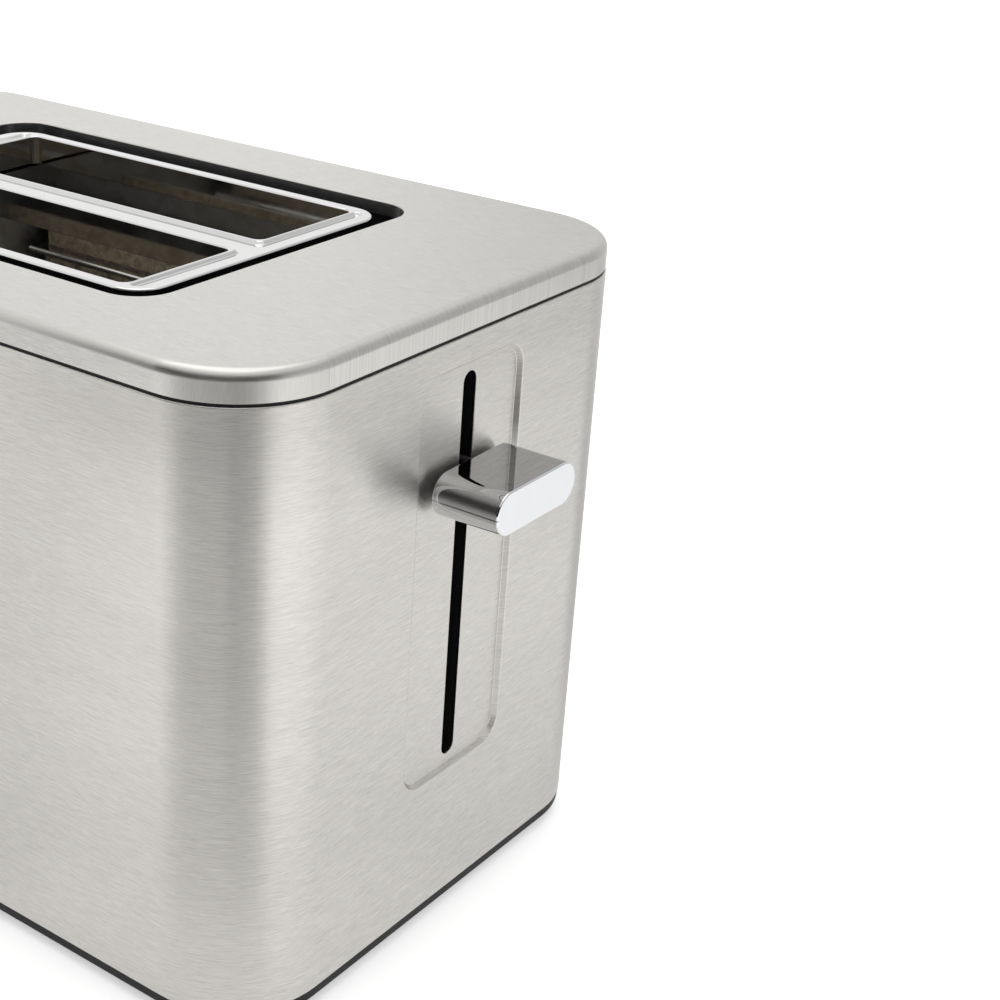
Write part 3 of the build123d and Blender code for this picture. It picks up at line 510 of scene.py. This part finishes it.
INK = moulded("dark_ink", (0.03, 0.03, 0.032), 0.5, 2e-6).material

slots = {part["node"]: part["material_slot"] for part in frame["record"]["subparts"]}
for name, node in NODES.items():
    look = LOOKS[slots[name]]
    if node.data.materials:
        for slot in node.material_slots:
            slot.material = look
    else:
        node.data.materials.append(look)


def finish_piece(piece, look, body, *nodes):
    piece.data.materials.append(look)
    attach(piece, body)
    if nodes:
        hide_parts(*nodes)
    return piece


# ---- Casing wrap: one sheet all round, with the pressed recess round the lever slot ----

RIM = 0.7 * MM
LEVER = Vector((RIGHT, centre("lever_knob").y, 0))
RECESS_LOW, RECESS_HIGH = 49 * MM, 173 * MM
RECESS_HALF = 23.3 * MM
RECESS_DEEP = 1.5 * MM
RECESS_CORNER = 8 * MM
SLOT_LOW, SLOT_HIGH = 52.8 * MM, 169.3 * MM
SLOT_HALF = 2.9 * MM


def wall(sheets, low, high, at, u, half, normal, holes=()):
    """A flat upright wall, half wide each side of at along u."""
    corners = [at + u * s * half + Z * z for s, z in ((-1, low), (1, low), (1, high), (-1, high))]
    sheets.flat(normal, corners, holes)


def steel_wrap():
    sheets = Sheets()
    roll = 0.35 * MM
    low, high = WRAP_LOW + roll, WRAP_HIGH - roll
    outline = Outline(MIDDLE, X, Y, HALF_X, HALF_Y, CORNER, 16)
    inside = (-SHEET, WRAP_HIGH, -1, 0), (-SHEET, WRAP_HIGH - 4 * MM, -1, 0)
    outline.skin(sheets, bend(-roll, high, roll, 0, 90) + [(-SHEET, WRAP_HIGH, 0, 1)])
    outline.skin(sheets, inside)

    # Corners, one smooth quarter each, and their inner faces
    for quarter in range(4):
        start = quarter * (outline.steps + 1)
        stop = start + outline.steps + 1
        sheets.rows([outline.loop(0, z)[start:stop] for z in (low, high)], closed=False)
        sheets.rows([outline.loop(-SHEET, z, -1)[start:stop] for z in (low, high)], closed=False)

    # The bottom edge, open at the far end for the crumb tray
    notch_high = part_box("crumb_tray")[1]
    gap = 0.4 * MM
    notch_half = notch_high.y + gap
    notch_top = notch_high.z + gap
    count = outline.steps + 1
    under = bend(-roll, low, roll, 0, -90) + [(-SHEET, WRAP_LOW, 0, -1)]
    rows = []
    for step in under:
        loop = outline.loop(*step)
        turned = loop[2 * count:] + loop[:2 * count]
        first, last = turned[0], turned[-1]
        out = (Vector((first[0].x, -notch_half, first[0].z)), first[1])
        back = (Vector((last[0].x, notch_half, last[0].z)), last[1])
        rows.append([out] + turned + [back])
    sheets.rows(rows, closed=False)

    # Front wall with round holes for the buttons, lamps and dial
    front = Vector((MIDDLE.x, FRONT, 0))
    holes = []
    rings = []
    for name in ("cancel_button", "reheat_button", "frozen_button"):
        at = centre(name)
        at.y = FRONT
        rings.append((at, 6.0 * MM))
        lamp = Vector((at.x + 15 * MM, FRONT, at.z))
        rings.append((lamp, 1.55 * MM))
    dial = centre("browning_dial")
    rings.append((Vector((dial.x, FRONT, dial.z)), 4.5 * MM))
    for at, radius in rings:
        hole = circle(at, X, Z, radius)
        holes.append(hole)
        for_normals = [(at - p).normalized() for p in hole]
        sheets.rows([list(zip(hole, for_normals)),
                     [(p + Y * SHEET, n) for p, n in zip(hole, for_normals)]])
    wall(sheets, low, high, front, X, HALF_X - CORNER, -Y, holes)
    wall(sheets, low, high, front + Y * SHEET, X, HALF_X - CORNER, Y,
         [[p + Y * SHEET for p in hole] for hole in holes])

    # Rear wall with the hole for the cord bush
    gland = centre("cord_gland")
    rear = Vector((MIDDLE.x, REAR, 0))
    hole = circle(Vector((gland.x, REAR, gland.z)), X, Z, 7 * MM)
    wall(sheets, low, high, rear, X, HALF_X - CORNER, Y, [hole])
    wall(sheets, low, high, rear - Y * SHEET, X, HALF_X - CORNER, -Y, [[p - Y * SHEET for p in hole]])

    # Far end, with the notch for the crumb tray
    half = HALF_Y - CORNER
    for x, side in ((LEFT, -1), (LEFT + SHEET, 1)):
        corners = [(-half, low), (-notch_half, low), (-notch_half, notch_top), (notch_half, notch_top),
                   (notch_half, low), (half, low), (half, high), (-half, high)]
        sheets.flat(X * side, [Vector((x, y, z)) for y, z in corners])
    edge = [(-notch_half, WRAP_LOW, -Y), (-notch_half, notch_top, -Y)], [(-notch_half, notch_top, -Z),
            (notch_half, notch_top, -Z)], [(notch_half, notch_top, Y), (notch_half, WRAP_LOW, Y)]
    for run in edge:
        sheets.rows([[(Vector((LEFT, y, z)), -n) for y, z, n in run],
                     [(Vector((LEFT + SHEET, y, z)), -n) for y, z, n in run]], closed=False)

    # Lever end: the recess, its sloping sides and its floor with the lever slot
    middle = LEVER + Z * (RECESS_LOW + RECESS_HIGH) / 2
    tall = (RECESS_HIGH - RECESS_LOW) / 2
    recess = Outline(middle, Y, Z, RECESS_HALF, tall, RECESS_CORNER, 14)
    tilt = 40
    foot = 0.35 * MM
    lift = RIM * math.tan(math.radians((90 - tilt) / 2))
    slope = RECESS_DEEP * math.tan(math.radians(tilt))
    drop = foot * math.tan(math.radians((90 - tilt) / 2))
    rim = bend(lift, -RIM, RIM, 90, 180 - tilt)
    floor = bend(-slope - drop, -RECESS_DEEP + foot, foot, -tilt, -90, -1)
    recess.skin(sheets, rim + floor)
    wall(sheets, low, high, Vector((RIGHT, MIDDLE.y, 0)), Y, half, X, [recess.points(lift)])
    wall(sheets, low, high, Vector((RIGHT - SHEET, MIDDLE.y, 0)), Y, half, -X, [recess.points(lift)])
    slot_middle = LEVER + Z * (SLOT_LOW + SLOT_HIGH) / 2 - X * RECESS_DEEP
    slot = Outline(slot_middle, Y, Z, SLOT_HALF, (SLOT_HIGH - SLOT_LOW) / 2, SLOT_HALF, 10)
    lip = 0.3 * MM
    sheets.flat(X, recess.points(-slope - drop, -RECESS_DEEP), [slot.points(lip)])
    slot.skin(sheets, bend(lip, -lip, lip, 90, 180, 1, 3) + [(0, -SHEET, -1, 0)])
    return sheets.build("steel_wrap")


finish_piece(steel_wrap(), LOOKS["brushed_steel"], "casing",
             "front_sheet", "rear_sheet", "lever_end_sheet", "far_end_sheet")


# ---- Lid: a pressed cover with a rounded edge and a collar turned down round the opening ----

OPENING_HALF_X, OPENING_HALF_Y, OPENING_CORNER = 84.3 * MM, 59.4 * MM, 11.6 * MM
lid_low, lid_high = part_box("lid")
frame_low, frame_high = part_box("slot_frame")


def pressed_lid():
    sheets = Sheets()
    top, foot = lid_high.z, lid_low.z
    bull, hem, roll = 3.0 * MM, 0.25 * MM, 0.4 * MM
    outline = Outline(MIDDLE, X, Y, (lid_high.x - lid_low.x) / 2, (lid_high.y - lid_low.y) / 2,
                      CORNER - 0.2 * MM, 16)
    skirt = [(-SHEET, foot + 3 * MM, -1, 0), (-SHEET, foot, -1, 0)]
    outline.skin(sheets, skirt)
    outline.skin(sheets, [(-SHEET, foot, 0, -1)] + bend(-hem, foot + hem, hem, -90, 0, 1, 3)
                 + bend(-bull, top - bull, bull, 0, 90, 1, 10))
    opening = Outline(MIDDLE, X, Y, OPENING_HALF_X, OPENING_HALF_Y, OPENING_CORNER, 14)
    collar = top - 4.2 * MM
    sheets.flat(Z, outline.points(-bull, top), [opening.points(roll, top)])
    opening.skin(sheets, bend(roll, top - roll, roll, 90, 180))
    finish_piece(sheets.build("pressed_lid"), LOOKS["lid"], "casing", "lid")
    sheets = Sheets()
    opening.skin(sheets, [(0, top - roll, -1, 0), (0, collar + hem, -1, 0)]
                 + bend(hem, collar + hem, hem, 180, 270, 1, 3) + [(SHEET, collar, 0, -1)])
    smooth = metal("collar_steel", (0.6, 0.595, 0.585), 0.22, 1e-6, (90, 90, 4000))
    finish_piece(sheets.build("lid_collar"), smooth.material, "casing")


pressed_lid()


# ---- Polished frame: a flat bead all round, two slots with raised lips, and the dish between them ----


class Dish(Outline):
    """The outline of the dish: a strip beyond each end of the slots, joined by the strip between them."""

    def __init__(self, out_x, in_x, half_y, strip):
        super().__init__(MIDDLE, X, Y, out_x, half_y, 0, 6)
        wide, tight, fork = 2.2 * MM, 1.4 * MM, 1.4 * MM
        quarter = [(out_x - wide, half_y - wide, wide, 0, 90), (in_x + tight, half_y - tight, tight, 90, 180),
                   (in_x - fork, strip + fork, -fork, 0, -90)]
        self.corners = []
        for su, sv in ((1, 1), (-1, 1), (-1, -1), (1, -1)):
            turned = []
            for u, v, radius, start, end in quarter:
                start, end = (180 - end, 180 - start) if su < 0 else (start, end)
                start, end = (-end, -start) if sv < 0 else (start, end)
                turned.append((su * u, sv * v, radius, start, end))
            self.corners += turned if su * sv > 0 else turned[::-1]

    def loop(self, grow=0.0, rise=0.0, along=1.0, up=0.0):
        made = []
        for u, v, radius, start, end in self.corners:
            side = 1 if radius > 0 else -1
            for step in range(self.steps + 1):
                angle = math.radians(start + (end - start) * step / self.steps)
                spoke = self.u * math.cos(angle) + self.v * math.sin(angle)
                at = self.origin + self.u * u + self.v * v + self.w * rise
                reach = max(abs(radius) + side * grow, 1e-5)
                made.append((at + spoke * reach, spoke * side * along + self.w * up))
        return made


def plated_frame():
    sheets = Sheets()
    top, foot = frame_high.z, lid_low.z
    half_x, half_y = (frame_high.x - frame_low.x) / 2, (frame_high.y - frame_low.y) / 2
    outline = Outline(MIDDLE, X, Y, half_x, half_y, 10 * MM, 12)
    edge = 0.6 * MM
    outline.skin(sheets, [(-1 * MM, foot, -1, 0), (-1 * MM, foot, 0, -1), (0, foot, 0, -1)])
    outline.skin(sheets, [(0, foot, 1, 0)] + bend(-edge, top - edge, edge, 0, 90, 1, 8))
    slot_y, slot_half_x, slot_half_y = 27.1 * MM, 68 * MM, 21.2 * MM
    lip, bead = 1.0 * MM, 4.3 * MM
    deep, fall, crest, sole = 1.0 * MM, 50, 0.6 * MM, 0.5 * MM
    ease = crest * math.tan(math.radians(fall / 2))
    run = deep / math.tan(math.radians(fall)) + sole * math.tan(math.radians(fall / 2))
    dish = Dish(half_x - bead, slot_half_x + lip, slot_y + slot_half_y, slot_y - slot_half_y - lip)
    dish.skin(sheets, bend(ease, top - crest, crest, 90, 90 + fall)
              + bend(-run, top - deep + sole, sole, fall - 90, -90, -1))
    sheets.flat(Z, dish.points(-run, top - deep))
    turn = 0.5 * MM
    holes = [dish.points(ease, top)]
    for y in (-slot_y, slot_y):
        slot = Outline(MIDDLE + Y * y, X, Y, slot_half_x, slot_half_y, 3 * MM, 8)
        holes.append(slot.points(turn, top))
        profile = bend(turn, top - turn, turn, 90, 180, 1, 8) + [(0, frame_low.z + 0.3 * MM, -1, 0)]
        profile += bend(0.3 * MM, frame_low.z + 0.3 * MM, 0.3 * MM, 180, 270, 1, 3)
        profile += [(1 * MM, frame_low.z, 0, -1)]
        slot.skin(sheets, profile)
        slot.skin(sheets, [(1 * MM, frame_low.z, 1, 0), (1 * MM, foot + 4 * MM, 1, 0)])
    sheets.flat(Z, outline.points(-edge, top), holes)
    return sheets.build("plated_frame")


finish_piece(plated_frame(), FRAME_LOOK, "casing", "slot_frame")


# ---- Lever knob: a plated bar with a stadium section ----

knob_low, knob_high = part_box("lever_knob")


def plated_knob():
    sheets = Sheets()
    middle = centre("lever_knob")
    tall = (knob_high.z - knob_low.z) / 2
    origin = Vector((knob_low.x, middle.y, middle.z))
    outline = Outline(origin, Y, Z, (knob_high.y - knob_low.y) / 2, tall, tall, 16)
    long = knob_high.x - knob_low.x
    back, face, thick, pocket = 0.8 * MM, 0.5 * MM, 2.0 * MM, 13 * MM
    outline.skin(sheets, [(-thick, pocket, -1, 0), (-thick, 0, -1, 0)])
    outline.skin(sheets, [(-thick, 0, 0, -1)] + bend(-back, back, back, -90, 0)
                 + bend(-face, long - face, face, 0, 90))
    sheets.flat(X, outline.points(-face, long))
    sheets.flat(-X, outline.points(-thick, pocket))
    return sheets.build("plated_knob")


finish_piece(plated_knob(), chrome_look("knob_chrome", (0.66, 0.665, 0.675), 0.02), "carriage", "lever_knob")


# ---- Return spring: hooked at both ends, built in the place of the spring part between casing and carriage ----


def coil_spring():
    low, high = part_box("return_spring")
    axis = (low + high) / 2
    wire = 0.4 * MM
    radius = (high.x - low.x) / 2 - wire
    turns, steps, ends = 18, 16, 4 * MM
    start, end = low.z + ends, high.z - ends
    hook = 1.6 * MM
    lower_hook = Vector((axis.x, axis.y, low.z + 2 * MM))
    upper_hook = Vector((axis.x, axis.y, high.z - 2 * MM))
    path = []
    for i in range(9):
        a = math.radians(-90 + 180 * i / 8)
        path.append(lower_hook + (Y * math.cos(a) + Z * math.sin(a)) * hook)
    for i in range(turns * steps + 1):
        a = 2 * math.pi * i / steps
        ease = min(1, i / steps, (turns * steps - i) / steps)
        r = radius * (0.35 + 0.65 * ease)
        z = start + (end - start) * i / (turns * steps)
        path.append(Vector((axis.x + r * math.cos(a), axis.y + r * math.sin(a), z)))
    for i in range(9):
        a = math.radians(-90 + 180 * i / 8)
        path.append(upper_hook + (Y * math.cos(a) + Z * math.sin(a)) * hook)
    sheets = Sheets()
    sheets.rows(tube(path, wire, 8))
    piece = sheets.build("coil_spring")
    piece.data.materials.append(LOOKS["spring_steel"])
    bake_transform(piece)
    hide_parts("return_spring")


coil_spring()


# ---- Printed scale round the dial and marks on the buttons ----


def strokes(name, at, lines, width, look, body):
    """Thin printed strokes on a surface that faces -Y. Lines are pairs of (x, z) points, in millimetres."""
    sheets = Sheets()
    for a, b in lines:
        a, b = (at + X * p[0] * MM + Z * p[1] * MM for p in (a, b))
        along = (b - a).normalized()
        side = along.cross(Y) * width * MM / 2
        cap = along * width * MM / 2
        sheets.flat(-Y, [a - cap * 0.6 - side * 0.6, a - side, b - side, b + cap * 0.6 - side * 0.6,
                         b + cap * 0.6 + side * 0.6, b + side, a + side, a - cap * 0.6 + side * 0.6])
    return finish_piece(sheets.build(name), look, body)


def dial_scale():
    at = Vector((dial_at.x, FRONT - 0.03 * MM, dial_at.z))
    ticks = []
    for i in range(11):
        angle = math.radians(-135 + 27 * i)
        out = Vector((math.sin(angle), math.cos(angle)))
        ticks.append((out * 22.4, out * (24.0 if i % 2 == 0 else 23.2)))
    strokes("scale_ticks", at, ticks, 0.35, INK, "casing")
    for i in range(6):
        angle = math.radians(-135 + 54 * i)
        curve = bpy.data.curves.new("digit", "FONT")
        curve.body = str(i + 1)
        curve.size = 4.6 * MM
        curve.align_x, curve.align_y = "CENTER", "CENTER"
        text = bpy.data.objects.new("digit", curve)
        bpy.context.scene.collection.objects.link(text)
        bpy.context.view_layer.update()
        mesh = bpy.data.meshes.new_from_object(text.evaluated_get(bpy.context.evaluated_depsgraph_get()))
        bpy.data.objects.remove(text)
        piece = bpy.data.objects.new(f"digit_{i + 1}", mesh)
        bpy.context.scene.collection.objects.link(piece)
        place = at + X * math.sin(angle) * 26.4 * MM + Z * math.cos(angle) * 26.4 * MM
        mesh.transform(Matrix.Translation(place) @ Matrix.Rotation(math.radians(90), 4, "X"))
        mesh.materials.clear()
        finish_piece(piece, INK, "casing")


dial_at = centre("dial_ring")
dial_scale()
dial_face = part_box("browning_dial")[0].y
strokes("pointer_paint", Vector((dial_at.x, dial_face + 0.55 * MM, dial_at.z)), [((0, 6.4), (0, 17.0))], 0.9,
        INK, "dial")

HEAT_WAVES = (-2, -0.4, 1.2)
for name, body, lines in (
    ("cancel", "cancel", [((-1.5, -1.5), (1.5, 1.5)), ((-1.5, 1.5), (1.5, -1.5))]),
    ("reheat", "reheat", [((x, -2), (x + 0.8, -0.8)) for x in HEAT_WAVES]
     + [((x + 0.8, -0.8), (x, 0.6)) for x in HEAT_WAVES] + [((x, 0.6), (x + 0.8, 2)) for x in HEAT_WAVES]),
    ("frozen", "frozen", [((-2.2 * math.sin(a), -2.2 * math.cos(a)), (2.2 * math.sin(a), 2.2 * math.cos(a)))
                          for a in (0, math.pi / 3, 2 * math.pi / 3)]),
):
    at = centre(name + "_button")
    at.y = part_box(name + "_button")[0].y - 0.02 * MM
    strokes(name + "_mark", at, lines, 0.4, INK, body)


# ---- Room: pale floor, soft light, camera ----


def prop(name, points, faces, look):
    """Something of the studio, which is no part of the toaster."""
    mesh = bpy.data.meshes.new(name)
    mesh.from_pydata(points, [], faces)
    mesh.materials.append(look)
    piece = bpy.data.objects.new(name, mesh)
    bpy.context.scene.collection.objects.link(piece)
    return piece


def room():
    wide = 4.0
    s = Shader("pale_floor")
    s.put(Base_Color=(0.8, 0.8, 0.8), Roughness=0.9, Specular_IOR_Level=0.0)
    s.put(Emission_Color=(1.0, 1.0, 1.0), Emission_Strength=0.4)
    prop("floor", [(-wide, -wide, 0), (wide, -wide, 0), (wide, wide, 0), (-wide, wide, 0)], [(0, 1, 2, 3)],
         s.material)


# Brightness of the panels by compass direction, in degrees from -Y towards +X: TABLE low down, and
# ROOM higher up, which is dark on the side that faces the near corner
TABLE = ((-179, 0.7), (-168, 0.95), (-145, 1.2), (-62, 1.05), (-50, 1.05), (-42, 1.65), (-33, 1.8),
         (-22, 1.5), (-12, 1.15), (0, 0.98), (28, 0.92), (40, 0.72), (50, 0.8), (60, 0.95), (67, 1.4),
         (76, 2.0), (104, 1.75), (125, 1.5), (142, 1.3), (152, 1.25), (160, 1.1), (168, 0.7), (179, 0.7))
ROOM = ((-179, 0.9), (-160, 0.9), (-140, 1.2), (-46, 1.1), (-41, 0.02), (72, 0.02), (92, 0.75),
        (150, 0.7), (168, 0.85))
PALE = 0.9


def panels():
    """A ring of light and dark panels round the toaster, seen only in reflections."""
    s = Shader("panels")
    table_top, room_foot = 0.06, 0.085
    pale_within, full_beyond = 0.08, 0.3
    turn = s.node("ShaderNodeTexGradient", gradient_type="RADIAL")
    s.link(s.coordinates, turn.inputs["Vector"])

    def by_direction(stops):
        ramp = s.node("ShaderNodeValToRGB")
        ramp.color_ramp.interpolation = "EASE"
        elements = ramp.color_ramp.elements
        elements.remove(elements[0])
        for i, (angle, value) in enumerate(stops):
            place = 0.5 + angle / 360
            element = elements.new(place) if i else elements[0]
            if not i:
                element.position = place
            element.color = (value, value, value, 1)
        s.link(turn.outputs["Fac"], ramp.inputs["Fac"])
        return ramp.outputs["Color"]

    height = s.node("ShaderNodeSeparateXYZ")
    s.link(s.coordinates, height.inputs["Vector"])
    wall = s.node("ShaderNodeMix", data_type="RGBA")
    s.link(s.spread(height.outputs["Z"], 0, 1, table_top, room_foot), wall.inputs["Factor"])
    s.link(by_direction(TABLE), wall.inputs["A"])
    s.link(by_direction(ROOM), wall.inputs["B"])
    reach = s.node("ShaderNodeVectorMath", operation="LENGTH")
    s.link(s.coordinates, reach.inputs[0])
    mix = s.node("ShaderNodeMix", data_type="RGBA")
    mix.inputs["A"].default_value = (PALE, PALE, PALE, 1)
    s.link(s.spread(reach.outputs["Value"], 0, 1, pale_within, full_beyond), mix.inputs["Factor"])
    s.link(wall.outputs["Result"], mix.inputs["B"])
    s.put(Base_Color=(0.0, 0.0, 0.0), Specular_IOR_Level=0.0, Emission_Color=mix.outputs["Result"])
    s.put(Emission_Strength=1.0)
    profile = ((0.09, 0.001), (0.5, 0.001), (0.5, 0.6))
    steps = 96
    points = []
    for radius, z in profile:
        for i in range(steps):
            angle = 2 * math.pi * i / steps
            points.append((radius * math.cos(angle), radius * math.sin(angle), z))
    faces = []
    for row in (0, steps):
        for i in range(steps):
            j = (i + 1) % steps
            faces.append((row + i, row + j, row + steps + j, row + steps + i))
    ring = prop("panels", points, faces, s.material)
    ring.location = (RIGHT - CORNER, FRONT + CORNER, 0)
    ring.rotation_euler.z = -math.pi / 2
    ring.visible_camera = ring.visible_diffuse = ring.visible_shadow = ring.visible_transmission = False


def sky():
    """A pale room: a little darker low down, white overhead."""
    world = bpy.data.worlds.new("studio")
    world.use_nodes = True
    bpy.context.scene.world = world
    tree = world.node_tree
    background = tree.nodes["Background"]
    split = tree.nodes.new("ShaderNodeSeparateXYZ")
    tree.links.new(tree.nodes.new("ShaderNodeTexCoord").outputs["Generated"], split.inputs["Vector"])
    rise = tree.nodes.new("ShaderNodeMapRange")
    rise.interpolation_type = "SMOOTHSTEP"
    rise.inputs["From Min"].default_value = 0.1
    rise.inputs["From Max"].default_value = 0.8
    rise.inputs["To Min"].default_value = SKY_LOW
    rise.inputs["To Max"].default_value = SKY_HIGH
    tree.links.new(split.outputs["Z"], rise.inputs["Value"])
    tree.links.new(rise.outputs["Result"], background.inputs["Color"])


SKY_LOW, SKY_HIGH = 0.95, 1.1


def lamp():
    light = bpy.data.lights.new("overhead", "AREA")
    light.shape, light.size, light.size_y, light.energy = "RECTANGLE", 1.2, 0.9, 4.0
    piece = bpy.data.objects.new("overhead", light)
    piece.location = (-0.2, 0.1, 1.3)
    piece.visible_camera = False
    bpy.context.scene.collection.objects.link(piece)


def camera():
    data = bpy.data.cameras.new("camera")
    data.lens, data.sensor_width = 67.0, 36.0
    data.shift_x, data.shift_y = 0.18289, 0.021765
    data.clip_start, data.clip_end = 0.01, 50
    piece = bpy.data.objects.new("camera", data)
    yaw, pitch, roll = (math.radians(a) for a in (38.225, 24.865, 1.54))
    ahead = Vector((-math.sin(yaw) * math.cos(pitch), math.cos(yaw) * math.cos(pitch), -math.sin(pitch)))
    right = Vector((math.cos(yaw), math.sin(yaw), 0))
    up = right.cross(ahead)
    side = right * math.cos(roll) + up * math.sin(roll)
    top = up * math.cos(roll) - right * math.sin(roll)
    turn = Matrix((side, top, -ahead)).transposed().to_4x4()
    piece.matrix_world = Matrix.Translation(Vector((RIGHT + 250.8 * MM, -381.0 * MM, 336.7 * MM))) @ turn
    bpy.context.scene.collection.objects.link(piece)
    bpy.context.scene.camera = piece


room()
panels()
sky()
lamp()
camera()
bpy.context.scene.view_settings.view_transform = "Standard"

bpy.context.view_layer.update()
